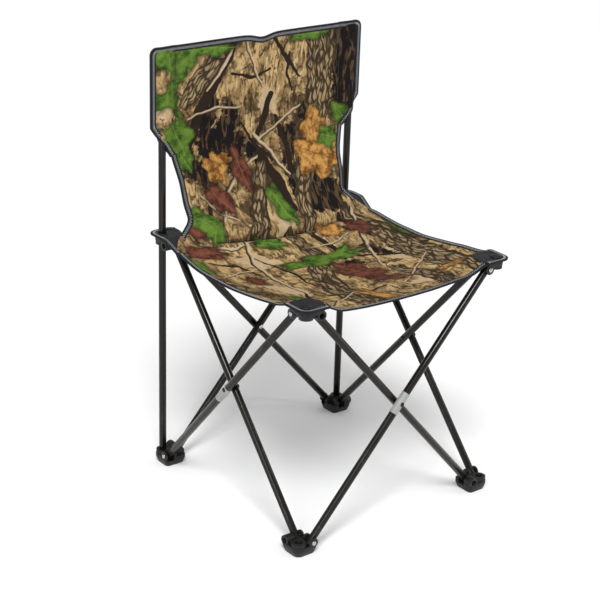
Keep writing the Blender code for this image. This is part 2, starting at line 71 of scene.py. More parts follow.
# %% Camera
RIGHT_OF_VIEW = Vector((0.79026, -0.61202, 0.03013))
DOWN_OF_VIEW = Vector((-0.20473, -0.31006, -0.92841))
FORWARD = Vector((0.57755, 0.72752, -0.37033))
lens = bpy.data.cameras.new("view")
lens.lens = 97.69
lens.sensor_width = 36
lens.shift_x = -0.0075
lens.shift_y = -0.0182
camera = bpy.data.objects.new("view", lens)
axes = Matrix((RIGHT_OF_VIEW, -DOWN_OF_VIEW, -FORWARD)).transposed().to_4x4()
camera.matrix_world = Matrix.Translation((-1.6453, -2.0141, 1.3925)) @ axes
bpy.context.scene.collection.objects.link(camera)
bpy.context.scene.camera = camera
print("camera", lens.lens, "mm")

# %% [markdown]
# ## Floor and light
# A plain pale floor takes the shadow and nothing else. A soft sun from the front left lights
# the floor evenly to its far edge, and two tall narrow strips at the sides make the thin
# streaks that show a round tube as round. The sky is pale, and plain white where it is seen.

# %% Floor and light
def area_light(name, place, aim, size, power, colour):
    lamp = bpy.data.lights.new(name, "AREA")
    lamp.shape = "RECTANGLE"
    lamp.size, lamp.size_y = size
    lamp.energy = power
    lamp.color = colour
    holder = bpy.data.objects.new(name, lamp)
    bpy.context.scene.collection.objects.link(holder)
    turn = (Vector(aim) - Vector(place)).to_track_quat("-Z", "Y")
    holder.matrix_world = Matrix.Translation(place) @ turn.to_matrix().to_4x4()


SEAT_AIM = (0, 0, 0.35)
area_light("left_strip", (-2.3, -1.5, 1.3), SEAT_AIM, (0.20, 1.9), 24, (0.97, 0.98, 1.0))
area_light("right_strip", (2.3, -1.9, 1.2), SEAT_AIM, (0.16, 1.9), 16, (1.0, 0.98, 0.95))

SUN_WAY = Vector((0.42, 0.55, -1.0))
sun = bpy.data.lights.new("key", "SUN")
sun.energy = 2.0
sun.angle = math.radians(20)
sun_holder = bpy.data.objects.new("key", sun)
bpy.context.scene.collection.objects.link(sun_holder)
sun_holder.rotation_euler = SUN_WAY.to_track_quat("-Z", "Y").to_euler()

sky = bpy.data.worlds.new("studio")
bpy.context.scene.world = sky
sky.use_nodes = True
backdrop = sky.node_tree.nodes["Background"]
backdrop.inputs["Color"].default_value = (1.0, 1.0, 1.0, 1.0)
SKY_LIGHT, SKY_SEEN = 0.56, 1.0
seen = sky.node_tree.nodes.new("ShaderNodeLightPath").outputs["Is Camera Ray"]
level = sky.node_tree.nodes.new("ShaderNodeMapRange")
level.inputs["To Min"].default_value = SKY_LIGHT
level.inputs["To Max"].default_value = SKY_SEEN
sky.node_tree.links.new(seen, level.inputs["Value"])
sky.node_tree.links.new(level.outputs[0], backdrop.inputs["Strength"])
bpy.context.scene.view_settings.view_transform = "Standard"

bpy.ops.object.select_all(action="DESELECT")
bpy.ops.mesh.primitive_plane_add(size=60, location=(0, 0, 0))
floor = bpy.context.object
floor.name = "floor"
paint = bpy.data.materials.new("floor_paint")
paint.use_nodes = True
floor_shader = paint.node_tree.nodes["Principled BSDF"]
floor_shader.inputs["Base Color"].default_value = (0.93, 0.93, 0.93, 1)
floor_shader.inputs["Roughness"].default_value = 0.9
floor.data.materials.append(paint)
print("lights", len(bpy.data.lights))

# %% [markdown]
# ## Helpers for finishes
# A finish is a node tree. These helpers add a node, feed its sockets and return what it puts
# out, so that each finish below reads as a short list of what is mixed into what. Effects that
# several finishes share are groups: a fine grain, handling marks and a woven thread pattern.

# %% Node helpers
def put(tree, kind, feeds=None, **settings):
    """One new node with its settings, each named input linked or given a value."""
    node = tree.nodes.new(kind)
    for key, value in settings.items():
        setattr(node, key, value)
    for key, value in (feeds or {}).items():
        if isinstance(value, bpy.types.NodeSocket):
            tree.links.new(value, node.inputs[key])
        else:
            node.inputs[key].default_value = value
    return node


def calc(tree, operation, *values):
    """A number worked out from one, two or three numbers."""
    return put(tree, "ShaderNodeMath", dict(enumerate(values)), operation=operation).outputs[0]


def ramp(tree, value, low, high, to_low=0.0, to_high=1.0):
    """A soft step from to_low to to_high as value goes from low to high."""
    feeds = {"Value": value, "From Min": low, "From Max": high, "To Min": to_low, "To Max": to_high}
    return put(tree, "ShaderNodeMapRange", feeds, interpolation_type="SMOOTHSTEP").outputs[0]


def mixed(tree, share, first, second):
    """A colour between two colours."""
    node = put(tree, "ShaderNodeMix", data_type="RGBA")
    for index, value in ((0, share), (6, first), (7, second)):
        if isinstance(value, bpy.types.NodeSocket):
            tree.links.new(value, node.inputs[index])
        elif isinstance(value, tuple):
            node.inputs[index].default_value = (*value, 1.0)
        else:
            node.inputs[index].default_value = value
    return node.outputs[2]


def noise(tree, vector, scale, detail=3.0, roughness=0.55, distortion=0.0):
    feeds = {"Vector": vector, "Scale": scale, "Detail": detail, "Roughness": roughness,
             "Distortion": distortion}
    return put(tree, "ShaderNodeTexNoise", feeds).outputs[0]


def stretched(tree, vector, scale, turn=0.0):
    """The same coordinates, turned about Z and scaled differently along each axis."""
    feeds = {"Vector": vector, "Scale": scale, "Rotation": (0.0, 0.0, turn)}
    return put(tree, "ShaderNodeMapping", feeds).outputs[0]


def new_group(name, inputs, outputs):
    """An empty node group with its sockets, and its input and output ends."""
    group = bpy.data.node_groups.new(name, "ShaderNodeTree")
    for label, kind, value in inputs:
        socket = group.interface.new_socket(label, in_out="INPUT", socket_type=kind)
        if value is not None:
            socket.default_value = value
    for label, kind in outputs:
        group.interface.new_socket(label, in_out="OUTPUT", socket_type=kind)
    return group, group.nodes.new("NodeGroupInput").outputs, group.nodes.new("NodeGroupOutput").inputs


def grouped(tree, group, feeds):
    """A group placed in a tree, with its inputs fed."""
    node = tree.nodes.new("ShaderNodeGroup")
    node.node_tree = group
    for key, value in feeds.items():
        if isinstance(value, bpy.types.NodeSocket):
            tree.links.new(value, node.inputs[key])
        else:
            node.inputs[key].default_value = value
    return node.outputs


# %% Shared effects
FLOAT, VECTOR = "NodeSocketFloat", "NodeSocketVector"


def make_grain():
    """Fine pits and lumps, as on moulded plastic or powder coat, and broad cloudy variation."""
    group, given, out = new_group(
        "fine_grain", [("Vector", VECTOR, None), ("Scale", FLOAT, 900.0)],
        [("Height", FLOAT), ("Cloud", FLOAT)])
    fine = noise(group, given["Vector"], given["Scale"], 2.0)
    broad = noise(group, given["Vector"], calc(group, "MULTIPLY", given["Scale"], 0.035), 3.0)
    group.links.new(fine, out["Height"])
    group.links.new(broad, out["Cloud"])
    return group


def make_marks():
    """A mask of scattered scuffs: short streaks where two noises are both high."""
    group, given, out = new_group(
        "handling_marks", [("Vector", VECTOR, None), ("Scale", FLOAT, 60.0), ("Amount", FLOAT, 0.5)],
        [("Mask", FLOAT)])
    streaks = noise(group, stretched(group, given["Vector"], (1.0, 1.0, 0.22)), given["Scale"], 4.0, 0.7)
    places = noise(group, given["Vector"], calc(group, "MULTIPLY", given["Scale"], 0.25), 2.0)
    both = calc(group, "MULTIPLY", ramp(group, streaks, 0.56, 0.66), ramp(group, places, 0.45, 0.62))
    group.links.new(calc(group, "MULTIPLY", both, given["Amount"]), out["Mask"])
    return group


def make_weave():
    """Plain weave on flat cloth coordinates in metres: crowned threads, over and under, with painted shade
    in the dips between them.
    """
    group, given, out = new_group(
        "plain_weave", [("Vector", VECTOR, None), ("Pitch", FLOAT, 0.0008)],
        [("Height", FLOAT), ("Shade", FLOAT)])
    parts = put(group, "ShaderNodeSeparateXYZ", {0: given["Vector"]}).outputs
    turns = calc(group, "DIVIDE", math.pi, given["Pitch"])
    across = calc(group, "SINE", calc(group, "MULTIPLY", parts[0], turns))
    along = calc(group, "SINE", calc(group, "MULTIPLY", parts[1], turns))
    checks = calc(group, "MULTIPLY", across, along)
    warp = calc(group, "MULTIPLY", calc(group, "ABSOLUTE", across), ramp(group, checks, -0.4, 0.4))
    weft = calc(group, "MULTIPLY", calc(group, "ABSOLUTE", along), ramp(group, checks, 0.4, -0.4))
    height = calc(group, "ADD", warp, weft)
    group.links.new(height, out["Height"])
    slub = noise(group, stretched(group, given["Vector"], (1.0, 0.08, 1.0)), 900.0, 2.0)
    # Shade is painted shade, darker in the dips between threads, with the yarn's slub added on top.
    group.links.new(calc(group, "MULTIPLY_ADD", height, 0.3, slub), out["Shade"])
    return group


GRAIN, MARKS, WEAVE = make_grain(), make_marks(), make_weave()

# %% The start of a finish
def start_finish(name, roughness, metallic=0.0):
    """A material with its shader, and object coordinates to feed patterns."""
    finish = bpy.data.materials.new(name)
    finish.use_nodes = True
    tree = finish.node_tree
    shader = tree.nodes["Principled BSDF"]
    shader.inputs["Roughness"].default_value = roughness
    shader.inputs["Metallic"].default_value = metallic
    place = tree.nodes.new("ShaderNodeTexCoord").outputs["Object"]
    return finish, tree, shader, place


def feed(tree, value, shader, socket):
    tree.links.new(value, shader.inputs[socket])


def raise_bump(tree, shader, height, distance, strength=1.0):
    bump = put(tree, "ShaderNodeBump", {"Height": height, "Distance": distance, "Strength": strength})
    tree.links.new(bump.outputs[0], shader.inputs["Normal"])


print("groups", [g.name for g in bpy.data.node_groups])

# %% [markdown]
# ## Hard finishes
# The tubes are steel with a nearly black, slightly brown powder coat, glossy enough to streak.
# The corner mouldings are black nylon with a fine grain and dusty scuffs. The pivot pins and
# the rear rivet are bright plated steel, the other rivets are painted with their tubes, and the
# two labels are blank pale foil. Each varies a little over its surface, because one flat value
# over a whole part is what makes a render look like plastic.

# %% Tubes, mouldings, rivets and labels
def clouded(name, roughness, metallic, grain_scale, mark_scale, mark_amount, shades):
    """A finish that clouds between two shades and takes a third where it is scuffed."""
    finish, tree, shader, place = start_finish(name, roughness, metallic)
    grain = grouped(tree, GRAIN, {"Vector": place, "Scale": grain_scale})
    marks = grouped(tree, MARKS, {"Vector": place, "Scale": mark_scale, "Amount": mark_amount})["Mask"]
    body = mixed(tree, grain["Cloud"], shades[0], shades[1])
    feed(tree, mixed(tree, marks, body, shades[2]), shader, "Base Color")
    return finish, tree, shader, grain, marks


def powder_coat():
    shades = ((0.0026, 0.0020, 0.0014), (0.0085, 0.0064, 0.0042), (0.038, 0.034, 0.028))
    finish, tree, shader, grain, marks = clouded(
        "powder_coated_steel", 0.34, 0.0, 700.0, 55.0, 0.55, shades)
    rough = ramp(tree, grain["Cloud"], 0.3, 0.7, 0.27, 0.42)
    feed(tree, calc(tree, "MULTIPLY_ADD", marks, 0.25, rough), shader, "Roughness")
    shader.inputs["Specular IOR Level"].default_value = 0.10
    shader.inputs["Coat Weight"].default_value = 0.40
    shader.inputs["Coat Roughness"].default_value = 0.08
    raise_bump(tree, shader, grain["Height"], 0.00012, 0.35)
    return finish


def moulded_nylon():
    shades = ((0.004, 0.004, 0.0045), (0.012, 0.012, 0.013), (0.055, 0.054, 0.052))
    finish, tree, shader, grain, marks = clouded(
        "black_moulded_nylon", 0.46, 0.0, 1500.0, 120.0, 0.5, shades)
    shader.inputs["Specular IOR Level"].default_value = 0.30
    rough = ramp(tree, grain["Cloud"], 0.3, 0.7, 0.38, 0.56)
    feed(tree, calc(tree, "MULTIPLY_ADD", marks, 0.2, rough), shader, "Roughness")
    raise_bump(tree, shader, grain["Height"], 0.0001, 0.5)
    return finish


def plated_steel():
    shades = ((0.38, 0.375, 0.36), (0.58, 0.57, 0.55), (0.22, 0.20, 0.18))
    finish, tree, shader, grain, marks = clouded(
        "bright_rivet_steel", 0.28, 1.0, 2200.0, 400.0, 0.7, shades)
    feed(tree, calc(tree, "MULTIPLY_ADD", marks, 0.3, 0.26), shader, "Roughness")
    raise_bump(tree, shader, grain["Height"], 0.00005, 0.4)
    return finish


def pale_foil():
    shades = ((0.22, 0.23, 0.215), (0.34, 0.345, 0.325), (0.14, 0.13, 0.12))
    finish, tree, shader, grain, _ = clouded("pale_label_foil", 0.42, 0.0, 1100.0, 260.0, 0.6, shades)
    raise_bump(tree, shader, grain["Height"], 0.00006, 0.5)
    return finish


COAT, NYLON, PLATE, FOIL = powder_coat(), moulded_nylon(), plated_steel(), pale_foil()
print("hard finishes", COAT.name, NYLON.name, PLATE.name, FOIL.name)

# %% [markdown]
# ## Corner mouldings
# Feet, hubs and sliders have the right shape in the frame, but real mouldings have no knife
# edges: the mould leaves a small radius on each, and that radius catches the light. Each is
# copied, its loose triangles merged back into whole faces, and its sharp edges bevelled.

# %% Soft-edged copies
def body_of_node(name):
    """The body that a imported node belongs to."""
    bodies = frame["record"]["behaviour"]["bodies"]
    return next(body for body, nodes in bodies.items() if name in nodes)


def only(piece):
    """Select one object and make it active."""
    bpy.ops.object.select_all(action="DESELECT")
    piece.select_set(True)
    bpy.context.view_layer.objects.active = piece
    return piece


def linked(name, mesh):
    """A new object for a mesh, in the scene."""
    piece = bpy.data.objects.new(name, mesh)
    bpy.context.scene.collection.objects.link(piece)
    return piece


def built(name, points, edges, faces):
    """A new object from its points, edges and faces."""
    mesh = bpy.data.meshes.new(name)
    mesh.from_pydata(points, edges, faces)
    return linked(name, mesh)


def select_all():
    bpy.ops.mesh.select_all(action="SELECT")


def face_out():
    bpy.ops.mesh.normals_make_consistent(inside=False)


def in_edit(piece, *steps):
    """Run edit-mode steps on one object, each a function without arguments."""
    only(piece)
    bpy.ops.object.mode_set(mode="EDIT")
    for step in steps:
        step()
    bpy.ops.object.mode_set(mode="OBJECT")


def settle(piece, *modifiers):
    """Apply modifiers given as (kind, settings)."""
    only(piece)
    for kind, settings in modifiers:
        modifier = piece.modifiers.new(kind.lower(), kind)
        for key, value in settings.items():
            setattr(modifier, key, value)
        bpy.ops.object.modifier_apply(modifier=modifier.name)
    return piece


SHARP = math.radians(38)  # a sharper turn than this between two faces is an edge


def dress(piece, finish):
    """Give a finished piece its material and smooth shading."""
    piece.data.materials.clear()
    piece.data.materials.append(finish)
    only(piece)
    bpy.ops.object.shade_smooth_by_angle(angle=SHARP)
    return piece

# %% The mouldings
def stand_in(piece, node):
    """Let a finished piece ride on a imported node's body, in that node's place."""
    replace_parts(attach(piece, body_of_node(node)), node)


def merged_copy(node, name):
    """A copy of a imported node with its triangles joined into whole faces."""
    piece = linked(name, frame["nodes"][node].data.copy())
    in_edit(
        piece,
        select_all,
        lambda: bpy.ops.mesh.remove_doubles(threshold=0.000002),
        lambda: bpy.ops.mesh.dissolve_limited(angle_limit=math.radians(0.8)),
    )
    return piece


MOULD_EDGE = 0.00055
mouldings = [n for n in frame["nodes"] if n.startswith(("foot_", "hub_", "slider_")) and "pin" not in n]
for node in sorted(mouldings):
    piece = merged_copy(node, node + "_moulding")
    settle(piece, ("BEVEL", {"width": MOULD_EDGE, "segments": 2, "limit_method": "ANGLE",
                             "angle_limit": SHARP, "use_clamp_overlap": True}))
    stand_in(dress(piece, NYLON), node)
print("mouldings", len(mouldings), "faces", len(piece.data.polygons))

# %% [markdown]
# ## Tubes and labels
# A tube is a rolled steel wall with open ends. A round ring of 40 sides given a wall thickness
# makes one, with its rims softened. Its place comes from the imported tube's own long axis, so
# the same function serves the eight scissor tubes, the two uprights and the foil labels.

# %% Hollow round pieces
def long_axis(node):
    """The middle, direction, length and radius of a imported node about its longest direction."""
    points = np.array([v.co for v in frame["nodes"][node].data.vertices])
    centre = points.mean(0)
    direction = np.linalg.svd(points - centre, full_matrices=False)[2][0]
    along = (points - centre) @ direction
    middle = centre + direction * (along.max() + along.min()) / 2
    off_axis = (points - middle) - np.outer((points - middle) @ direction, direction)
    radius = float(np.linalg.norm(off_axis, axis=1).max())
    return Vector(middle), Vector(direction), float(np.ptp(along)), radius


def settle_place(piece):
    """Put the piece's place and turn into its mesh."""
    only(piece)
    bpy.ops.object.transform_apply(location=True, rotation=True, scale=True)
    return piece


def hollow_round(name, node, wall, sides=40, rim=0.0002):
    middle, direction, length, radius = long_axis(node)
    bpy.ops.object.select_all(action="DESELECT")
    bpy.ops.mesh.primitive_cylinder_add(
        vertices=sides, radius=radius, depth=length, end_fill_type="NOTHING")
    piece = bpy.context.object
    piece.name = name
    in_edit(piece, select_all, face_out)
    settle(piece, ("SOLIDIFY", {"thickness": wall, "offset": -1.0}),
           ("BEVEL", {"width": rim, "segments": 2, "limit_method": "ANGLE",
                      "angle_limit": math.radians(50)}))
    piece.matrix_world = Matrix.Translation(middle) @ direction.to_track_quat("Z", "Y").to_matrix().to_4x4()
    return settle_place(piece)


TUBE_WALL = 0.0009
tubes = [n for n in frame["nodes"] if "_tube_" in n or n in ("upright_left", "upright_right")]
for node in sorted(tubes):
    piece = dress(hollow_round(node + "_steel", node, TUBE_WALL), COAT)
    stand_in(piece, node)
print("tubes", len(tubes), "each", len(piece.data.polygons), "faces")

FOIL_WALL, FOIL_RIM = 0.0003, 0.00008
for node in ("label_front", "label_left"):
    stand_in(dress(hollow_round(node + "_foil", node, FOIL_WALL, rim=FOIL_RIM), FOIL), node)
print("labels 2")

# %% [markdown]
# ## Turned pieces
# Rivet heads, pivot pins, the two corner plugs, the rings in the rear tabs and the plugs in the
# uprights are all turned shapes. One outline of each is drawn from the axis outwards and spun
# round it, the way a lathe would, which keeps every dome truly round.

# %% Spin an outline
def turned(name, outline, steps=32):
    """Spin an outline of (radius, height) points round Z into one closed piece."""
    edges = [(i, i + 1) for i in range(len(outline) - 1)]
    piece = built(name, [(r, 0, z) for r, z in outline], edges, [])
    in_edit(
        piece,
        select_all,
        lambda: bpy.ops.mesh.spin(steps=steps, angle=2 * math.pi, center=(0, 0, 0), axis=(0, 0, 1)),
        select_all,
        lambda: bpy.ops.mesh.remove_doubles(threshold=0.00001),
        face_out,
    )
    return piece


def dome(radius, height, base, count=5):
    """Outline points of a domed head, from its rim at the base up to the axis."""
    steps = [math.pi / 2 * i / count for i in range(count + 1)]
    return [(radius * math.cos(a), base + height * math.sin(a)) for a in steps]


def stand(piece, place, direction):
    """Turn a piece's +Z to a direction, move it into place and settle it there."""
    turn = Vector(direction).to_track_quat("Z", "Y").to_matrix().to_4x4()
    piece.matrix_world = Matrix.Translation(place) @ turn
    return settle_place(piece)

# %% Pivot pins and rivets
HEAD_R, HEAD_H, SHANK_R = 0.0040, 0.0018, 0.0022
HEAD_RIM = 0.0003         # the head's straight rim below its dome
PIN_SIDES = 24


def outward_axis(node):
    """A pin's middle, the direction its head faces and its length, along the axis it lies on."""
    low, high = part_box(node)
    size = high - low
    axis = max(range(3), key=lambda i: size[i])
    middle = (low + high) / 2
    sign = 1 if middle[axis] > 0 else -1
    direction = Vector([sign if i == axis else 0 for i in range(3)])
    return middle, direction, size[axis]


pins = sorted(n for n in frame["nodes"] if "_pin_" in n)
for node in pins:
    middle, direction, length = outward_axis(node)
    shank = length - HEAD_H
    outline = [(0, -shank), (SHANK_R * 0.8, -shank), (SHANK_R, -shank + 0.0004), (SHANK_R, 0.0)]
    outline += [(HEAD_R * 0.97, 0.0), (HEAD_R, HEAD_RIM)] + dome(HEAD_R, HEAD_H - HEAD_RIM, HEAD_RIM)[1:-1]
    outline += [(0.0011, HEAD_H - 0.0001), (0.0009, HEAD_H - 0.0005), (0, HEAD_H - 0.0006)]
    head_base = middle + direction * (length / 2 - HEAD_H)
    piece = stand(turned(node + "_steel", outline, PIN_SIDES), head_base, direction)
    stand_in(dress(piece, PLATE), node)

rivets = sorted(n for n in frame["nodes"] if n.startswith("rivet_"))
for node in rivets:
    middle, direction, length = outward_axis(node)
    reach = length / 2 - HEAD_H
    top = [(SHANK_R, reach), (HEAD_R, reach), *dome(HEAD_R, HEAD_H, reach)[1:-1], (0, reach + HEAD_H)]
    outline = [(r, -z) for r, z in reversed(top)] + top
    finish = PLATE if node == "rivet_rear" else COAT
    piece = stand(turned(node + "_steel", outline, PIN_SIDES), middle, direction)
    stand_in(dress(piece, finish), node)
print("pins", len(pins), "rivets", len(rivets))

# %% Corner plugs, tab rings and upright plugs
CORNER_PLUG = (  # radius, height; stem first, then the flange and its stepped dome
    (0, -0.009), (0.0058, -0.009), (0.0063, -0.0082), (0.0063, 0.0), (0.0092, 0.0), (0.0094, 0.0006),
    (0.0092, 0.0018), (0.0084, 0.0026), (0.0074, 0.0029), (0.0069, 0.0027), (0.0062, 0.0030),
    (0.0046, 0.0037), (0.0024, 0.0041), (0, 0.0041),
)
TAB_RING = (
    (0.0074, 0.0), (0.0110, 0.0), (0.0112, 0.0003), (0.0106, 0.0009), (0.0094, 0.0011), (0.0082, 0.0010),
    (0.0075, 0.0006), (0.0074, 0.0),
)
UPRIGHT_PLUG = (
    (0, -0.010), (0.0048, -0.010), (0.0053, -0.0092), (0.0053, 0.0003), (0.0065, 0.0003), (0.0064, 0.0012),
    (0.0052, 0.0026), (0.0028, 0.0033), (0, 0.0034),
)
UP = (0, 0, 1)


def fit_turned(node, ending, outline, steps, below_top=None):
    """A turned piece in a node's place, on its foot or some way below its top."""
    low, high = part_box(node)
    centre = (low + high) / 2
    base = low.z if below_top is None else high.z - below_top
    piece = stand(turned(node + ending, outline, steps), (centre.x, centre.y, base), UP)
    stand_in(dress(piece, NYLON), node)


for side in ("left", "right"):
    fit_turned("corner_cap_front_" + side, "_plug", CORNER_PLUG, 40, below_top=0.0041)
    fit_turned("eyelet_" + side, "_ring", TAB_RING, 40)
    fit_turned("upright_plug_" + side, "_cap", UPRIGHT_PLUG, 32, below_top=0.0034)
print("plugs and rings 6")

# %% [markdown]
# ## The sling's surface
# The sling is one length of cloth: down the back between the uprights, forward over the seat,
# and out to the four corners. It is described by a few stations along it. Each gives the
# cloth's edge and its middle line, and the cloth sags from one to the other. A curve smoothed
# through the stations gives the whole surface, so that every piece of it is cut from one shape.
# On top of that lie small swells, folds that fan out from where the cloth is held, and the sewn
# fold between seat and back. Tight cloth on four corners has little to spare, so formulas for
# these are plainer than a cloth simulation, and come out the same each time.

# %% Stations of the sling
STATIONS = (  # edge y, edge z, half width, middle y, middle z
    (0.2020, 0.7620, 0.2235, 0.2020, 0.7620),
    (0.2020, 0.7150, 0.2235, 0.2020, 0.7150),
    (0.2020, 0.6680, 0.2235, 0.2020, 0.6680),
    (0.2020, 0.6217, 0.1920, 0.2020, 0.6217),
    (0.2000, 0.5750, 0.1850, 0.1990, 0.5750),
    (0.1900, 0.5300, 0.1745, 0.1870, 0.5300),
    (0.1770, 0.4900, 0.1740, 0.1680, 0.4880),
    (0.1690, 0.4640, 0.1690, 0.1370, 0.4490),
    (0.1620, 0.4365, 0.1960, 0.1160, 0.4300),
    (0.1400, 0.4215, 0.2130, 0.0980, 0.4165),
    (0.0700, 0.4090, 0.2130, 0.0450, 0.4000),
    (-0.0100, 0.4080, 0.2120, -0.0100, 0.3920),
    (-0.0900, 0.4170, 0.2130, -0.0850, 0.3930),
    (-0.1450, 0.4270, 0.2150, -0.1430, 0.4000),
    (-0.1830, 0.4355, 0.2190, -0.1750, 0.4060),
    (-0.2215, 0.4365, 0.2215, -0.2070, 0.4115),
)
TOP, HINGE, APEX, CENTRE, FRONT = 0.0, 3.0, 5.35, 11.0, 15.0
ON_TABS, ON_HUBS = 8.2, 12.0   # where the cloth lies on the rear tabs, and on the front hubs
FINE = 0.02               # spacing of the smoothed lines, in stations
SMOOTH_REACH = 22         # how many of those are averaged to each side
SEAM_X = 0.174            # stitched inner edge of each sleeve
HEM_X = 0.2235            # outer edge of each sleeve
UPRIGHT_XY = 0.202
CORNER_R = 0.0195         # rounded cloth corner about each socket
HUB_EDGE = 0.1707         # inner side of a corner moulding
LAY_Z = 0.4369            # the cloth's face where it lies on a hub
THICK = 0.0009
PRINTED_WAY = (0, -0.6, 0.8)   # roughly where the printed side looks, on back and seat alike
CORNER_SLOPE = 0.50       # how steeply the cloth falls away from where a moulding holds it

# %% Smooth lines through the stations
def smoothed(column):
    """Straight runs between the stations, then averaged over about one station."""
    count = len(column)
    fine = np.interp(np.arange(0, count - 1 + FINE / 2, FINE), np.arange(count), column)
    weights = np.hanning(2 * SMOOTH_REACH + 1)
    before = 2 * fine[0] - fine[SMOOTH_REACH:0:-1]
    after = 2 * fine[-1] - fine[-2:-SMOOTH_REACH - 2:-1]
    return np.convolve(np.concatenate([before, fine, after]), weights / weights.sum(), "valid")


LINES = [smoothed(np.array(column)) for column in zip(*STATIONS)]
halfway_y = (LINES[0] + LINES[3]) / 2
halfway_z = (LINES[1] + LINES[4]) / 2
DOWN_CLOTH = np.concatenate([[0.0], np.cumsum(np.hypot(np.diff(halfway_y), np.diff(halfway_z)))])


def line_at(index, t):
    return np.interp(t, np.arange(len(LINES[0])) * FINE, LINES[index])


def cloth_v(t):
    """How far down the cloth a station is, from the top of the back, in metres."""
    return np.interp(t, np.arange(len(DOWN_CLOTH)) * FINE, DOWN_CLOTH)


def station_at(v):
    return np.interp(v, DOWN_CLOTH, np.arange(len(DOWN_CLOTH)) * FINE)


def half_width(t):
    """Half of the sling's width, drawn in round the sockets at its front corners."""
    past = np.clip(-line_at(0, t) - UPRIGHT_XY, 0, CORNER_R)
    rounded = UPRIGHT_XY + np.sqrt(CORNER_R ** 2 - past ** 2)
    return np.minimum(line_at(2, t), rounded)

print("lines", len(LINES), "of", len(LINES[0]), "places each")

# %% Channels, swells and folds
def soft_step(value, low, high):
    share = np.clip((value - low) / (high - low), 0, 1)
    return share * share * (3 - 2 * share)


SWELLS = (  # radians per metre across and down, phase, size in mm
    (21, 13, 0.3, 0.7), (-34, 27, 1.9, 0.55), (63, -19, 4.1, 0.3), (17, 61, 2.2, 0.35),
    (-75, 52, 5.2, 0.2), (96, 71, 0.9, 0.14),
)


def channel(x):
    """How far a sleeve stands off over its upright, at x."""
    off = np.abs(x) - UPRIGHT_XY
    reach = np.where(off < 0, 0.0265, 0.0118)
    return 0.0080 * np.clip(1 - (off / reach) ** 2, 0, 1) ** 1.5


def ripples(x, v):
    """Small uneven swell of cloth that has been folded away many times."""
    total = 0.0
    for across, down, phase, size in SWELLS:
        total = total + size * np.sin(across * x + down * v + phase + 1.4 * np.sin(17 * v - 9 * x))
    return total * MM


PULLS = (  # x, v, reach, size in mm, number of folds round the point
    (-0.185, 0.345, 0.120, 1.7, 9), (0.185, 0.345, 0.120, 1.7, 9),
    (-0.195, 0.680, 0.150, 1.6, 8), (0.195, 0.680, 0.150, 1.6, 8),
    (-0.190, 0.150, 0.110, 1.5, 8), (0.190, 0.150, 0.110, 1.5, 8),
    (0.002, 0.004, 0.090, 1.6, 6),
)


def pull_folds(x, v):
    """Folds that fan out from each point that carries the cloth."""
    total = 0.0
    for at_x, at_v, reach, size, count in PULLS:
        far = np.hypot(x - at_x, v - at_v)
        angle = np.arctan2(v - at_v, (x - at_x) * np.sign(0.001 - at_x))
        fade = np.exp(-(far / reach) ** 2) * soft_step(far, 0.012, 0.05)
        total = total + size * fade * np.sin(count * angle + 1.3 * np.sin(3 * angle))
    return total * MM


CREASE_V = 0.352          # the sewn fold where back meets seat, down the cloth
GROOVE, LOW_ROLL, HIGH_ROLL = -7.5, 2.6, 9.5   # mm


def crease(x, v):
    """A sewn fold across the cloth: a groove with a soft roll on either side."""
    off = v - CREASE_V - 0.004 * np.sin(14 * x)
    middle = 1 - np.clip(np.abs(x) / 0.19, 0, 1) ** 3
    groove = GROOVE * np.exp(-(off / 0.0045) ** 2)
    low_roll = LOW_ROLL * np.exp(-((off - 0.012) / 0.009) ** 2)
    high_roll = HIGH_ROLL * np.exp(-((off + 0.017) / 0.013) ** 2)
    return (groove + (low_roll + high_roll)) * middle * MM

print("swells", len(SWELLS), "fans of folds", len(PULLS))

# %% The whole surface
TOP_Z = STATIONS[0][1]
NOTCH = 0.0062            # dip in the middle of the top edge
RIGHT_LIFT = 0.009        # the seat's right side hangs this much higher
HUB_BLEND = 0.0016        # how softly the cloth comes off a hub


def base_surface(x, t):
    """The sling before its small folds."""
    width = line_at(2, t)
    bulge = 1 - np.clip(np.abs(x) / width, 0, 1) ** 2
    y = line_at(0, t) + (line_at(3, t) - line_at(0, t)) * bulge
    z = line_at(1, t) + (line_at(4, t) - line_at(1, t)) * bulge
    on_back = soft_step(z, 0.560, 0.600)
    y = y - channel(x) * on_back * (1 - 0.75 * soft_step(z, 0.754, TOP_Z))
    z = z - NOTCH * np.exp(-((x - 0.004) / 0.020) ** 2) * soft_step(z, 0.700, TOP_Z)
    along_seat = soft_step(t, 8.5, 10.0) * (1 - soft_step(t, 12.0, 14.0))
    z = z + RIGHT_LIFT * np.clip(x / 0.21, 0, 1) ** 3 * along_seat
    off_hub = np.hypot(np.maximum(HUB_EDGE - np.abs(x), 0), np.maximum(HUB_EDGE - np.abs(y), 0))
    lying = LAY_Z - CORNER_SLOPE * off_hub
    held = LAY_Z - np.maximum(LAY_Z - HUB_BLEND * np.logaddexp(z / HUB_BLEND, lying / HUB_BLEND), 0)
    z = np.where((t > ON_TABS) & (off_hub < 0.045), held, z)
    return np.stack([x, y, z], -1)


def facing(x, t):
    """The direction that the printed face looks in."""
    step_x, step_t = 0.0015, 0.04
    low_t = np.clip(t - step_t, 0, FRONT)
    high_t = np.clip(t + step_t, 0, FRONT)
    across = base_surface(x + step_x, t) - base_surface(x - step_x, t)
    down = base_surface(x, high_t) - base_surface(x, low_t)
    normal = np.cross(across, down)
    normal /= np.linalg.norm(normal, axis=-1, keepdims=True)
    flip = np.where(normal @ np.array(PRINTED_WAY) < 0, -1.0, 1.0)
    return normal * flip[..., None]


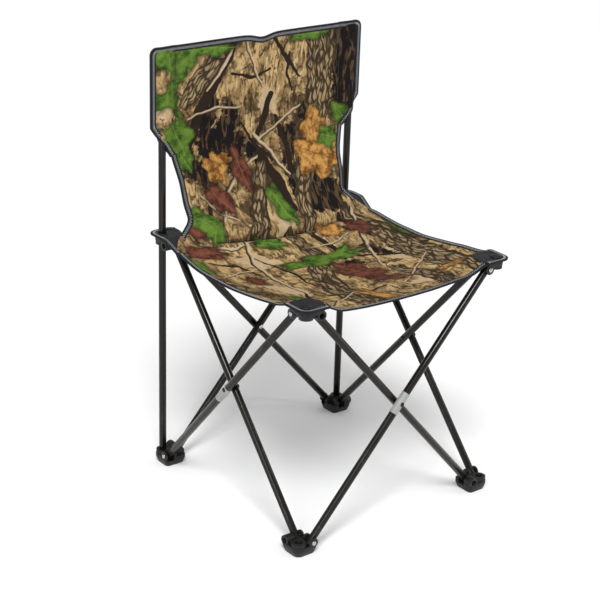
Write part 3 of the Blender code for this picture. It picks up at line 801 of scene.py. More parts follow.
def surface(x, t):
    """Points of the printed face, with its folds."""
    v = cloth_v(t)
    width = half_width(t)
    from_edge = np.minimum(width - np.abs(x), cloth_v(FRONT) - v)
    free = 0.25 + 0.75 * soft_step(from_edge, 0.0, 0.04)
    on_tube = 1 - soft_step(np.abs(x), 0.168, 0.178) * soft_step(HINGE + 1 - t, 0, 0.6)
    base = base_surface(x, t)
    on_hub = 1 - soft_step(base[..., 2], 0.4325, 0.4362) * (t > ON_HUBS)
    fold = (ripples(x, v) + pull_folds(x, v)) * free * on_tube * on_hub + crease(x, v)
    return base + facing(x, t) * fold[..., None]


print("cloth", round(float(cloth_v(FRONT)), 3), "m down its length")

# %% [markdown]
# ## The print
# The cloth carries a woodland print: tan litter, bark, dead twigs, green and rust leaves. Each
# element is placed on the flat cloth, in millimetres across from its middle and down from its
# top, and worked out at every point of the sheet as a distance to its outline. The material
# then draws crisp edges from those distances and fills each shape with its own fine pattern.

# %% Shapes on flat cloth
GREEN_LEAVES = (  # across, down, long, wide, turn in degrees, lobes
    (-188, 38, 105, 74, 80, 5), (-176, 150, 120, 70, 65, 5), (-196, 88, 80, 58, 95, 4),
    (-104, 12, 104, 34, 6, 5), (-150, 22, 60, 44, 140, 4), (-163, 196, 62, 40, 60, 5),
    (104, 12, 96, 26, 0, 5), (180, 165, 58, 36, 50, 4), (150, 204, 50, 46, 20, 5),
    (13, 303, 88, 40, 70, 5), (-150, 312, 84, 46, 35, 6), (-132, 332, 50, 34, 110, 5),
    (18, 448, 196, 44, 3, 7), (-46, 366, 66, 36, 20, 5), (-204, 404, 84, 24, 78, 4),
    (206, 446, 84, 22, 92, 4), (-138, 586, 44, 24, 40, 4), (-196, 628, 40, 20, 85, 3),
    (66, 438, 60, 26, -35, 4),
)
RUST_LEAVES = (
    (122, 232, 112, 96, 25, 6), (118, 180, 76, 60, 85, 4), (-100, 224, 66, 46, 60, 5),
    (-84, 210, 40, 26, 10, 4), (88, 372, 66, 42, 20, 5), (-14, 648, 130, 30, 82, 5),
    (150, 640, 54, 34, 30, 5),
)
WINE_LEAVES = (
    (-104, 276, 70, 46, 50, 5), (-50, 232, 96, 36, 75, 4), (-166, 372, 78, 40, 8, 5),
    (44, 528, 128, 62, 70, 6), (-144, 480, 46, 32, 60, 5), (146, 392, 70, 48, 40, 5),
    (-162, 328, 44, 30, 30, 4), (64, 588, 70, 34, 30, 5),
)
DARK_PATCHES = (
    (116, 304, 104, 84, 20, 2), (-112, 130, 90, 46, 100, 3), (-152, 214, 60, 36, 80, 3),
    (200, 40, 170, 104, 92, 2), (196, 124, 96, 84, 95, 2), (48, 498, 60, 36, 150, 3),
    (-60, 130, 70, 30, 60, 3), (120, 470, 80, 34, 60, 3), (60, 262, 60, 34, 100, 3),
    (-20, 208, 46, 34, 60, 3), (-100, 186, 80, 56, 70, 3), (-60, 196, 76, 50, 110, 3),
    (60, 205, 90, 40, 100, 3), (-76, 160, 60, 44, 130, 3), (92, 150, 40, 26, 90, 3),
    (-126, 232, 60, 34, 60, 3),
)
PALE_PATCHES = (
    (4, 334, 60, 48, 80, 4), (-186, 12, 30, 22, 20, 4), (-196, 110, 44, 28, 10, 4),
    (-96, 410, 86, 50, 20, 4), (-120, 540, 80, 46, 60, 4), (150, 520, 90, 50, 80, 4),
    (20, 120, 60, 44, 60, 4), (96, 640, 70, 40, 0, 4),
)
BARK_STRIPS = (  # points across and down, with the half width at each
    ((132, -10, 34), (134, 66, 31), (130, 130, 27), (122, 190, 25), (96, 246, 21), (70, 292, 18),
     (48, 356, 13)),
    ((-152, 98, 15), (-120, 60, 19), (-84, 26, 15)), ((-6, 236, 13), (-30, 292, 17), (-62, 354, 19)),
    ((4, 354, 12), (16, 424, 19), (-16, 490, 22), (-40, 560, 24), (-52, 650, 26), (-56, 710, 26)),
    ((150, 350, 16), (176, 420, 23), (172, 500, 26), (168, 585, 24), (172, 710, 20)),
    ((-204, 470, 12), (-176, 560, 17), (-150, 660, 14), (-146, 710, 14)),
    ((100, 560, 10), (112, 620, 15), (108, 710, 18)),
)
TAN_GAPS = ((-208, 54, 46, 42, 80, 4), (-200, 120, 66, 34, 10, 4), (-160, 84, 26, 20, 40, 4))
PALE_TWIGS = (
    ((-14, 176, 4), (18, 214, 4), (52, 258, 3)), ((2, 186, 3), (44, 164, 3), (90, 138, 2)),
    ((-14, 214, 3), (-58, 236, 3), (-86, 266, 4), (-108, 314, 3)),
    ((-88, 356, 4), (-108, 420, 5), (-108, 490, 4), (-102, 566, 3)),
    ((168, 350, 5), (144, 392, 5), (120, 446, 5), (94, 520, 3)),
    ((-62, 20, 5), (-88, 60, 5), (-110, 84, 3)), ((-30, 8, 3), (-12, 60, 3), (6, 96, 2)),
    ((60, 626, 3), (112, 590, 3), (170, 552, 2)), ((-150, 130, 2), (-100, 118, 3), (-40, 124, 2)),
    ((-164, 352, 3), (-120, 368, 3), (-60, 352, 2)), ((-140, 268, 2), (-112, 300, 3), (-82, 316, 2)),
    ((-30, 600, 3), (-96, 640, 3), (-150, 690, 3)), ((20, 400, 2), (66, 408, 3), (118, 398, 2)),
    ((-190, 460, 2), (-150, 440, 3), (-112, 446, 2)),
)
DARK_TWIGS = (
    ((30, 6, 3), (54, 48, 4), (88, 86, 2)),
    ((-56, 10, 9), (-92, 68, 12), (-126, 116, 10), (-156, 206, 7)),
    ((62, 40, 2), (58, 74, 3), (70, 110, 2)), ((26, 110, 6), (10, 150, 7), (-14, 190, 6)),
    ((34, 150, 4), (58, 206, 5), (60, 252, 7)), ((-44, 150, 2), (-10, 196, 3), (22, 226, 3)),
    ((-96, 400, 2), (-60, 470, 3), (-66, 540, 2)), ((-104, 562, 3), (-120, 600, 4), (-126, 660, 2)),
    ((-8, 212, 9), (24, 262, 11), (40, 310, 6)), ((40, 356, 5), (62, 420, 6), (54, 470, 4)),
    ((128, 350, 6), (150, 420, 5), (200, 520, 4)), ((80, 470, 3), (130, 500, 4), (196, 560, 3)),
    ((-180, 400, 2), (-140, 420, 3), (-120, 466, 2)), ((-80, 596, 3), (-20, 620, 3), (30, 610, 2)),
    ((-60, 60, 2), (-20, 74, 3), (24, 66, 2)), ((-130, 234, 3), (-120, 270, 4), (-134, 320, 3)),
)


print("shapes", len(GREEN_LEAVES + RUST_LEAVES + WINE_LEAVES), "leaves",
      len(DARK_PATCHES + PALE_PATCHES + TAN_GAPS), "patches",
      len(BARK_STRIPS + PALE_TWIGS + DARK_TWIGS), "strips and twigs")

# %% Distances to the shapes
FAR = 1e3                 # farther than any shape


def leaf_field(x, y, leaves, sharp=0.34):
    """Distance in mm outside the nearest leaf, and how far along and across it a point is."""
    best = np.full(x.shape, FAR)
    along_best, across_best = np.zeros(x.shape), np.zeros(x.shape)
    for centre_x, centre_y, long, wide, turn, lobes in leaves:
        turn = math.radians(turn)
        off_x, off_y = x - centre_x, y - centre_y
        along = (off_x * math.cos(turn) + off_y * math.sin(turn)) / (long / 2)
        across = (-off_x * math.sin(turn) + off_y * math.cos(turn)) / (wide / 2)
        angle = np.arctan2(across, along)
        points = np.abs(np.cos(angle * lobes / 2 + 0.2 * np.sin(angle)))
        outline = 1 - sharp * (1 - points) ** 0.8 + 0.05 * np.sin(9 * angle + centre_x)
        distance = (np.hypot(along, across) - outline) * min(long, wide) / 2
        nearer = distance < best
        best = np.where(nearer, distance, best)
        along_best = np.where(nearer, along * long / 2, along_best)
        across_best = np.where(nearer, across * wide / 2, across_best)
    return best, along_best, across_best


def strip_field(x, y, strips):
    """Distance in mm outside the nearest strip, and how far across and along it a point is."""
    best = np.full(x.shape, FAR)
    across_best, along_best = np.zeros(x.shape), np.zeros(x.shape)
    for number, strip in enumerate(strips):
        run = 0.0
        for (ax, ay, ar), (bx, by, br) in zip(strip, strip[1:]):
            length = math.hypot(bx - ax, by - ay)
            dir_x, dir_y = (bx - ax) / length, (by - ay) / length
            along = (x - ax) * dir_x + (y - ay) * dir_y
            share = np.clip(along / length, 0, 1)
            across = (x - ax) * dir_y - (y - ay) * dir_x
            gap = np.hypot(across, along - share * length)
            distance = gap - (ar + (br - ar) * share)
            nearer = distance < best
            best = np.where(nearer, distance, best)
            across_best = np.where(nearer, across, across_best)
            along_best = np.where(nearer, along + run + 211 * number, along_best)
            run += length
    return best, across_best, along_best

# %% All that the print reads
def print_fields(x, v):
    """Everything the print's material reads, at points of the flat cloth in metres."""
    x, y = x / MM, v / MM
    wave_x = 2.4 * np.sin(y / 9.0 + 0.8 * np.sin(x / 14)) + 1.2 * np.sin(y / 3.7 + x / 5)
    wave_y = 2.4 * np.sin(x / 8.0 + 1.1 * np.sin(y / 12)) + 1.2 * np.sin(x / 3.9 - y / 6)
    torn_x, torn_y = x + wave_x, y + wave_y
    green, leaf_along, leaf_across = leaf_field(x, y, GREEN_LEAVES)
    green = np.maximum(green, -leaf_field(torn_x, torn_y, TAN_GAPS, 0.3)[0])
    rust, rust_along, rust_across = leaf_field(x, y, RUST_LEAVES)
    wine, wine_along, wine_across = leaf_field(x, y, WINE_LEAVES)
    for other, along, across in ((rust, rust_along, rust_across), (wine, wine_along, wine_across)):
        use = (other < green) & (green > 0)
        leaf_along = np.where(use, along, leaf_along)
        leaf_across = np.where(use, across, leaf_across)
    dark = leaf_field(torn_x, torn_y, DARK_PATCHES, 0.2)[0]
    pale = leaf_field(torn_x, torn_y, PALE_PATCHES, 0.3)[0]
    bark, bark_across, bark_along = strip_field(x + 0.8 * wave_x, y + 0.8 * wave_y, BARK_STRIPS)
    twig, twig_across, _ = strip_field(x + 0.5 * wave_x, y + 0.5 * wave_y, PALE_TWIGS)
    stick, _, _ = strip_field(x + 0.6 * wave_x, y + 0.6 * wave_y, DARK_TWIGS)
    mid_back = soft_step(y, 60, 130) * (1 - soft_step(y, 290, 360))
    gloom = mid_back * (1 - 0.6 * soft_step(np.abs(x), 120, 200))
    # Painted shade: a dark line along the sewn fold, standing in for the shadow of the fold.
    off_seam = y - CREASE_V / MM - 4 * np.sin(0.014 * x)
    gloom = gloom + 2.5 * np.exp(-(off_seam / 2.4) ** 2) * (1 - np.clip(np.abs(x) / 185, 0, 1) ** 6)
    return {
        "print_leaves": (green, rust, wine),
        "print_ground": (dark, pale, stick),
        "print_wood": (bark, twig, twig_across),
        "print_bark": (bark_across, bark_along, leaf_along),
        # The third value is the litter's darkness in the middle of the back, plus the painted shade along
        # the sewn fold.
        "print_veins_and_shade": (leaf_across, leaf_along, gloom),
    }


# %% [markdown]
# ## Printed cloth
# The printed side mixes the elements in the order a printer lays them: litter, dark gaps, bark,
# twigs and then leaves, and over them a painted shade along the sewn fold. A weave group gives the
# threads, with painted shade in the dips between them. The reverse has a plain dark coating.

# %% Printed and coated cloth
def attribute(tree, name):
    """The three numbers of a point attribute."""
    vector = put(tree, "ShaderNodeAttribute", attribute_name=name).outputs["Vector"]
    return put(tree, "ShaderNodeSeparateXYZ", {0: vector}).outputs


def inside(tree, distance, ragged, amount, edge=0.5):
    """1 inside a shape and 0 outside, its edge moved in and out by a noise."""
    moved = calc(tree, "MULTIPLY_ADD", ragged, amount, distance)
    return ramp(tree, calc(tree, "SUBTRACT", moved, 0.5 * amount), -edge, edge, 1.0, 0.0)


CLOTH_PITCH = 0.0007      # from thread to thread


def litter_colour(tree, flat, crossing):
    """Overlapping dry blades, pale on top with dark gaps between."""
    blades = noise(tree, stretched(tree, flat, (1.0, 0.35, 1.0), 0.5), 95.0, 5.0, 0.62, 1.2)
    broad = noise(tree, flat, 28.0, 3.0, 0.6)
    litter = mixed(tree, ramp(tree, blades, 0.34, 0.58), (0.100, 0.059, 0.024), (0.50, 0.345, 0.155))
    litter = mixed(tree, ramp(tree, broad, 0.44, 0.68), litter, (0.235, 0.145, 0.068))
    litter = mixed(tree, ramp(tree, crossing, 0.56, 0.66), litter, (0.58, 0.43, 0.22))
    for turn, scale, bands in ((0.7, 13.0, 9.0), (-0.8, 17.0, 8.0)):
        sweep = noise(tree, stretched(tree, flat, (1.0, 0.5, 1.0), turn), scale, 3.0, 0.5, 0.9)
        level = calc(tree, "FRACT", calc(tree, "MULTIPLY", sweep, bands))
        under = ramp(tree, level, 0.02, 0.45, 0.85, 0.0)
        here = ramp(tree, noise(tree, flat, 31.0 + scale, 2.0, 0.5), 0.44, 0.54)
        litter = mixed(tree, calc(tree, "MULTIPLY", under, here), litter, (0.040, 0.023, 0.012))
    return litter


def bark_colour(tree, place, distance):
    """Long ridges parted by dark fissures, running with the trunk, and darker at its sides."""
    drawn_out = calc(tree, "MULTIPLY", place[1], 0.26)
    grain = put(tree, "ShaderNodeCombineXYZ", {0: place[0], 1: drawn_out}).outputs[0]
    grain = put(tree, "ShaderNodeVectorMath", {0: grain, "Scale": MM}, operation="SCALE").outputs[0]
    waver = noise(tree, grain, 160.0, 3.0, 0.6)
    bent = put(tree, "ShaderNodeVectorMath", {0: waver, 1: (0.006, 0.006, 0.0), 2: grain},
               operation="MULTIPLY_ADD").outputs[0]
    ridges = put(tree, "ShaderNodeTexVoronoi", {"Vector": bent, "Scale": 165.0}, feature="DISTANCE_TO_EDGE")
    fissure = ramp(tree, ridges.outputs["Distance"], 0.05, 0.26, 1.0, 0.0)
    fibres = noise(tree, grain, 900.0, 3.0, 0.7)
    bark = mixed(tree, fibres, (0.13, 0.084, 0.040), (0.50, 0.37, 0.195))
    bark = mixed(tree, calc(tree, "MULTIPLY", fissure, 0.94), bark, (0.020, 0.013, 0.009))
    return mixed(tree, ramp(tree, distance, -9.0, -1.0, 0.0, 0.75), bark, (0.030, 0.020, 0.012))


def leaf_veins(tree, across, along):
    """1 along a leaf's midrib and half that on its side veins."""
    off_rib = calc(tree, "ABSOLUTE", across)
    side_run = calc(tree, "SUBTRACT", along, calc(tree, "MULTIPLY", off_rib, 0.9))
    side_vein = ramp(tree, calc(tree, "PINGPONG", side_run, 7.0), 0.2, 1.1, 1.0, 0.0)
    midrib = ramp(tree, off_rib, 0.3, 1.3, 1.0, 0.0)
    return calc(tree, "MAXIMUM", calc(tree, "MULTIPLY", side_vein, 0.5), midrib)


def with_leaves(tree, colour, distance, shades, ragged, amount, blotch, vein):
    """One kind of leaf laid over a colour, with a shadow round it and a darker rim."""
    low, high, rib = shades
    leaf = mixed(tree, blotch, low, high)
    leaf = mixed(tree, calc(tree, "MULTIPLY", vein, 0.55), leaf, rib)
    rim = ramp(tree, distance, -6.0, 0.0, 0.0, 0.55)
    leaf = mixed(tree, rim, leaf, tuple(0.45 * part for part in low))
    shadow = inside(tree, calc(tree, "SUBTRACT", distance, 4.0), ragged, amount, 3.5)
    colour = mixed(tree, calc(tree, "MULTIPLY", shadow, 0.6), colour, (0.014, 0.010, 0.007))
    return mixed(tree, inside(tree, distance, ragged, amount), colour, leaf)


WINE = ((0.050, 0.016, 0.011), (0.160, 0.052, 0.032), (0.22, 0.10, 0.06))
RUST = ((0.130, 0.052, 0.012), (0.56, 0.29, 0.080), (0.12, 0.05, 0.016))
GREEN = ((0.026, 0.062, 0.009), (0.105, 0.190, 0.026), (0.18, 0.27, 0.065))


def printed_cloth():
    finish, tree, shader, _ = start_finish("woodland_print_cloth", 0.72)
    flat = put(tree, "ShaderNodeUVMap", uv_map="flat_cloth").outputs[0]
    leaves, ground = attribute(tree, "print_leaves"), attribute(tree, "print_ground")
    wood, bark_at = attribute(tree, "print_wood"), attribute(tree, "print_bark")
    veins = attribute(tree, "print_veins_and_shade")
    small = noise(tree, flat, 260.0, 4.0, 0.7)
    ragged = noise(tree, flat, 130.0, 3.0, 0.65)
    crossing = noise(tree, stretched(tree, flat, (1.0, 0.3, 1.0), -0.9), 70.0, 4.0, 0.6, 1.5)

    # Litter, with gloom in its hollows and paler patches.
    clumps = noise(tree, flat, 17.0, 5.0, 0.72, 0.8)
    # The third value darkens the litter in the middle of the back, and near the sewn fold it adds painted
    # shade.
    gloom = calc(tree, "MULTIPLY_ADD", calc(tree, "MINIMUM", veins[2], 1.0), 0.10, clumps)
    shade = calc(tree, "MULTIPLY", ramp(tree, gloom, 0.54, 0.66), 0.82)
    colour = mixed(tree, shade, litter_colour(tree, flat, crossing), (0.024, 0.014, 0.008))
    pale = mixed(tree, small, (0.40, 0.28, 0.15), (0.66, 0.51, 0.32))
    pale_in = inside(tree, ground[1], ragged, 22.0, 1.5)
    colour = mixed(tree, calc(tree, "MULTIPLY", pale_in, 0.8), colour, pale)

    # Deep shade with a few brown glints, dark sticks, and the trunks.
    glints = ramp(tree, crossing, 0.50, 0.60, 0.0, 0.8)
    deep = mixed(tree, glints, (0.009, 0.007, 0.007), (0.105, 0.064, 0.034))
    colour = mixed(tree, inside(tree, ground[0], ragged, 26.0, 1.5), colour, deep)
    colour = mixed(tree, inside(tree, ground[2], ragged, 3.5), colour, (0.022, 0.014, 0.010))
    bark = bark_colour(tree, bark_at, wood[0])
    colour = mixed(tree, inside(tree, wood[0], ragged, 5.0), colour, bark)

    # Pale twigs, lit on one side and dark on the other.
    pale_side = mixed(tree, small, (0.34, 0.24, 0.14), (0.62, 0.50, 0.34))
    twig = mixed(tree, ramp(tree, wood[2], -2.2, 1.6), (0.035, 0.022, 0.014), pale_side)
    colour = mixed(tree, inside(tree, wood[1], ragged, 2.5, 0.4), colour, twig)

    # Leaves, wine below rust below green, and then painted shade along the sewn fold.
    vein = leaf_veins(tree, veins[0], veins[1])
    blotch = ramp(tree, noise(tree, flat, 44.0, 5.0, 0.66), 0.38, 0.60)
    for distance, shades, frayed in zip(reversed(leaves[:3]), (WINE, RUST, GREEN), (14.0, 15.0, 7.0)):
        colour = with_leaves(tree, colour, distance, shades, ragged, frayed, blotch, vein)
    # Painted shade: near black along the sewn fold, where the fold's shadow falls.
    colour = mixed(tree, ramp(tree, veins[2], 1.2, 2.6, 0.0, 0.8), colour, (0.010, 0.008, 0.006))

    weave = grouped(tree, WEAVE, {"Vector": flat, "Pitch": CLOTH_PITCH})
    # The weave's painted shade darkens the print in the dips between threads, and its slub varies the yarn.
    thread = ramp(tree, weave["Shade"], 0.2, 1.2, 0.80, 1.08)
    soft = put(tree, "ShaderNodeMix", data_type="RGBA", blend_type="MULTIPLY")
    soft.inputs[0].default_value = 1.0
    tree.links.new(colour, soft.inputs[6])
    tree.links.new(thread, soft.inputs[7])
    feed(tree, soft.outputs[2], shader, "Base Color")
    feed(tree, ramp(tree, weave["Height"], 0.0, 1.0, 0.80, 0.66), shader, "Roughness")
    shader.inputs["Specular IOR Level"].default_value = 0.07
    raise_bump(tree, shader, weave["Height"], 0.00012, 0.5)
    return finish


def coated_reverse():
    finish, tree, shader, place = start_finish("coated_cloth_reverse", 0.6)
    flat = put(tree, "ShaderNodeUVMap", uv_map="flat_cloth").outputs[0]
    weave = grouped(tree, WEAVE, {"Vector": flat, "Pitch": CLOTH_PITCH})
    cloud = grouped(tree, GRAIN, {"Vector": place, "Scale": 500.0})["Cloud"]
    feed(tree, mixed(tree, cloud, (0.018, 0.018, 0.020), (0.042, 0.042, 0.045)), shader, "Base Color")
    feed(tree, ramp(tree, cloud, 0.3, 0.7, 0.5, 0.68), shader, "Roughness")
    raise_bump(tree, shader, weave["Height"], 0.0001, 0.4)
    return finish


PRINT, REVERSE = printed_cloth(), coated_reverse()
print("print nodes", len(PRINT.node_tree.nodes))

# %% [markdown]
# ## Sheets
# Each part of the sling is a fine grid on the surface, with the flat position of each point
# kept as its UV map and the print's distances as attributes. Solidify then gives the cloth its
# thickness, with the coated reverse on the inner side. The sling is parted where the folding
# frame creases it: at the foot of the sleeves, in the lower back and across the seat.

# %% A sheet from a grid
CELL = 0.0026             # spacing of the sheets' grids


SLEEVE_THICK = 0.0008


def sheet_from(name, grids, thickness=THICK):
    """One cloth piece from grids of (points, across, down), printed side first."""
    points, faces, across, down = [], [], [], []
    for grid, grid_x, grid_v, outward in grids:
        rows, columns = grid.shape[:2]
        first = len(across)
        points.append(grid.reshape(-1, 3))
        across.extend(grid_x.ravel())
        down.extend(grid_v.ravel())
        sample = np.cross(grid[rows // 2, columns // 2 + 1] - grid[rows // 2, columns // 2],
                          grid[rows // 2 + 1, columns // 2] - grid[rows // 2, columns // 2])
        turned_over = float(sample @ np.array(outward)) < 0
        for row in range(rows - 1):
            start = first + row * columns
            for column in range(columns - 1):
                a = start + column
                face = (a, a + 1, a + columns + 1, a + columns)
                faces.append(face[::-1] if turned_over else face)
    across, down = np.array(across), np.array(down)
    piece = built(name, np.concatenate(points).tolist(), [], faces)
    mesh = piece.data
    for label, values in print_fields(across, down).items():
        kept = mesh.attributes.new(label, "FLOAT_VECTOR", "POINT")
        kept.data.foreach_set("vector", np.stack(values, -1).astype(np.float32).ravel())
    corner = np.empty(len(mesh.loops), dtype=np.int32)
    mesh.loops.foreach_get("vertex_index", corner)
    flat = np.stack([across[corner], down[corner]], -1).astype(np.float32)
    mesh.uv_layers.new(name="flat_cloth").data.foreach_set("uv", flat.ravel())
    mesh.materials.append(PRINT)
    mesh.materials.append(REVERSE)
    settle(piece, ("SOLIDIFY", {"thickness": thickness, "offset": -1.0, "material_offset": 1,
                                "use_even_offset": True}))
    only(piece)
    bpy.ops.object.shade_smooth_by_angle(angle=math.radians(50))
    return piece


def sling_grid(start, end, width):
    """A grid between two stations, width giving half its width at each."""
    rows = max(3, int((cloth_v(end) - cloth_v(start)) / CELL))
    t = station_at(np.linspace(cloth_v(start), cloth_v(end), rows + 1))
    columns = int(2 * width(t).max() / CELL)
    share = np.linspace(-1, 1, columns + 1)
    x = width(t)[:, None] * share[None, :]
    t = np.repeat(t[:, None], columns + 1, 1)
    return surface(x, t), x, cloth_v(t), PRINTED_WAY


def back_width(t):
    return np.full(np.shape(t), SEAM_X)


back = sheet_from("back_cloth", [sling_grid(TOP, HINGE, back_width)])
lower = sheet_from("lower_back_cloth", [sling_grid(HINGE, APEX, half_width)])
rear = sheet_from("seat_rear_cloth", [sling_grid(APEX, CENTRE, half_width)])
front = sheet_from("seat_front_cloth", [sling_grid(CENTRE, FRONT, half_width)])
for piece in (back, lower, rear, front):
    print(piece.name, len(piece.data.polygons), "faces")

# %% [markdown]
# ## Sleeves
# Each side of the back is turned over an upright and stitched down, with the raw edges bound
# together outside it. A sleeve is two layers, front and rear, from the seam to the bound hem,
# with a rounded top corner and its foot cut off slanting towards the lower back.

# %% The two sleeves
TOP_CORNER_R = 0.012
SLANT_TOP_Z, SLANT_FOOT_Z, SLANT_FOOT_X = 0.626, 0.573, 0.1865
SIDES = ((-1, "left"), (1, "right"))


def sleeve_edge(z):
    """How far out a sleeve reaches at a height."""
    above = np.clip(z - (TOP_Z - TOP_CORNER_R), 0, TOP_CORNER_R)
    rounded = HEM_X - TOP_CORNER_R + np.sqrt(TOP_CORNER_R ** 2 - above ** 2)
    share = np.clip((SLANT_TOP_Z - z) / (SLANT_TOP_Z - SLANT_FOOT_Z), 0, 1)
    return rounded - (HEM_X - SLANT_FOOT_X) * share


def sleeve_grid(side, start, end, inner, behind):
    """One layer of a sleeve between two stations, from its inner line out to its edge."""
    rows = max(4, int((cloth_v(end) - cloth_v(start)) / (CELL * 0.8)))
    t = station_at(np.linspace(cloth_v(start), cloth_v(end), rows + 1))
    z = line_at(1, t)
    share = np.linspace(0, 1, 24)
    reach = np.maximum(sleeve_edge(z), inner(t) + 0.0004)
    x = side * (inner(t)[:, None] + (reach - inner(t))[:, None] * share[None, :])
    t = np.repeat(t[:, None], len(share), 1)
    points = surface(x, t)
    across = x
    if behind:
        plane = 2 * line_at(0, t) + 2 * THICK
        points[..., 1] = plane - points[..., 1]
        across = side * (2 * HEM_X - np.abs(x))
    return points, across, cloth_v(t), (0, 1, 0) if behind else (0, -1, 0)


SLANT_FOOT = float(station_at(np.interp(-SLANT_FOOT_Z, -LINES[1], DOWN_CLOTH)))
sleeves = []
for side, label in SIDES:
    grids = []
    for behind in (False, True):
        grids.append(sleeve_grid(side, TOP, HINGE, back_width, behind))
        grids.append(sleeve_grid(side, HINGE, SLANT_FOOT, half_width if not behind else back_width, behind))
    sleeves.append(sheet_from("sleeve_cloth_" + label, grids, SLEEVE_THICK))
print("sleeves", [len(s.data.polygons) for s in sleeves])

# %% [markdown]
# ## Binding tape
# Every raw edge of the sling is covered by a black tape folded over it and sewn with a pale
# zigzag thread. The tape is a thin folded section carried along the edge, with the cloth inside
# it, and the thread is a row of small four-sided stitches lying on the tape.

# %% Edge paths
TAPE_STEP = 0.003         # spacing of the points along a tape


def run_along(points):
    """How far along a path each of its points is."""
    return np.concatenate([[0.0], np.cumsum(np.linalg.norm(np.diff(points, axis=0), axis=1))])


def resampled(values, run, at):
    """A path's points or directions at other places along it."""
    return np.stack([np.interp(at, run, values[:, i]) for i in range(3)], -1)


def edge_path(x, t, inner_x, inner_t):
    """An edge's points, the way into the cloth and the face direction at each, evenly spaced."""
    run = run_along(surface(x, t))
    even = np.linspace(0, run[-1], max(3, int(run[-1] / TAPE_STEP)) + 1)
    x, t, inner_x, inner_t = (np.interp(even, run, column) for column in (x, t, inner_x, inner_t))
    return path_frames(surface(x, t), surface(inner_x, inner_t), facing(inner_x, inner_t))


def path_frames(points, inner, face):
    """Square up the inward and face directions to the path."""
    along = np.gradient(points, axis=0)
    along /= np.linalg.norm(along, axis=1, keepdims=True)
    inward = inner - points
    inward -= along * (inward * along).sum(1, keepdims=True)
    inward /= np.linalg.norm(inward, axis=1, keepdims=True)
    face = face - along * (face * along).sum(1, keepdims=True)
    face -= inward * (face * inward).sum(1, keepdims=True)
    face /= np.linalg.norm(face, axis=1, keepdims=True)
    return points, inward, face

print("tape points every", TAPE_STEP, "m")

# %% Tape and stitches
TAPE_WIDTH = 0.0095
TAPE_SECTION = ((1.0, 0.25), (0.95, 0.75), (0.5, 0.95), (0.06, 0.85), (-0.10, 0.30))  # width shares, mm up


def tape_section(depth):
    """The folded tape across the edge: its top half, then its lower half, depth mm below."""
    top = [(share * TAPE_WIDTH, up * MM) for share, up in TAPE_SECTION]
    low = [(share * TAPE_WIDTH, -(depth + up) * MM) for share, up in reversed(TAPE_SECTION)]
    return top + low


def swept(points, inward, face, section):
    """Vertices and faces of a closed section carried along a path, with its ends closed."""
    rings = [points + inward * a + face * b for a, b in section]
    count, length = len(section), len(points)
    vertices = np.stack(rings, 1).reshape(-1, 3)
    faces = []
    for i in range(length - 1):
        for j in range(count):
            k = (j + 1) % count
            faces.append((i * count + j, i * count + k, (i + 1) * count + k, (i + 1) * count + j))
    faces.append(tuple(range(count))[::-1])
    faces.append(tuple((length - 1) * count + j for j in range(count)))
    return vertices, faces


def joined(name, parts, finish, smooth=60):
    """One object from several lots of vertices and faces."""
    points, faces, first = [], [], 0
    for vertices, lot in parts:
        points.append(np.asarray(vertices))
        faces.extend(tuple(first + i for i in face) for face in lot)
        first += len(vertices)
    piece = built(name, np.concatenate(points).tolist(), [], faces)
    in_edit(piece, select_all, face_out)
    piece.data.materials.append(finish)
    only(piece)
    bpy.ops.object.shade_smooth_by_angle(angle=math.radians(smooth))
    return piece


ZIGZAG_PITCH, ZIGZAG_SWING, ZIGZAG_END = 0.0038, 0.0023, 0.0006
THREAD, SEAM_THREAD = 0.00030, 0.00055   # half widths of the stitches


def stitch(start, end, up, width=THREAD):
    """One straight stitch as a low four-sided bar with dipped ends."""
    along = (end - start) / np.linalg.norm(end - start)
    side = np.cross(along, up)
    side /= np.linalg.norm(side)
    rows = []
    for share, rise in ((0.0, -0.3), (0.25, 0.8), (0.75, 0.8), (1.0, -0.3)):
        middle = start + (end - start) * share + up * (rise * width)
        rows += [middle + side * width, middle + up * width, middle - side * width, middle - up * width]
    faces = [(3, 2, 1, 0), (12, 13, 14, 15)]
    for row in range(3):
        for j in range(4):
            k = (j + 1) % 4
            faces.append((row * 4 + j, row * 4 + k, row * 4 + 4 + k, row * 4 + 4 + j))
    return np.array(rows), faces


def zigzag(points, inward, face, lift=0.0009):
    """Stitches swinging to and fro along the middle of a tape."""
    run = run_along(points)
    count = max(2, int(run[-1] / (ZIGZAG_PITCH / 2)))
    even = np.linspace(ZIGZAG_END, run[-1] - ZIGZAG_END, count + 1)
    points, inward, face = (resampled(values, run, even) for values in (points, inward, face))
    swing = np.where(np.arange(count + 1) % 2 == 0, -1.0, 1.0)[:, None] * ZIGZAG_SWING
    dots = points + inward * (TAPE_WIDTH * 0.5 + swing) + face * lift
    return [stitch(dots[i], dots[i + 1], face[i]) for i in range(count)]


def running(points, face, long=0.0034, gap=0.0008, lift=0.0002):
    """A straight row of stitches along a path."""
    run = run_along(points)
    stitches = []
    for at in np.arange(0.001, run[-1] - long, long + gap):
        up = resampled(face, run, at)
        start, end = resampled(points, run, at) + up * lift, resampled(points, run, at + long) + up * lift
        stitches.append(stitch(start, end, up, SEAM_THREAD))
    return stitches


print("tape", TAPE_WIDTH, "m wide, zigzag pitch", ZIGZAG_PITCH, "m")

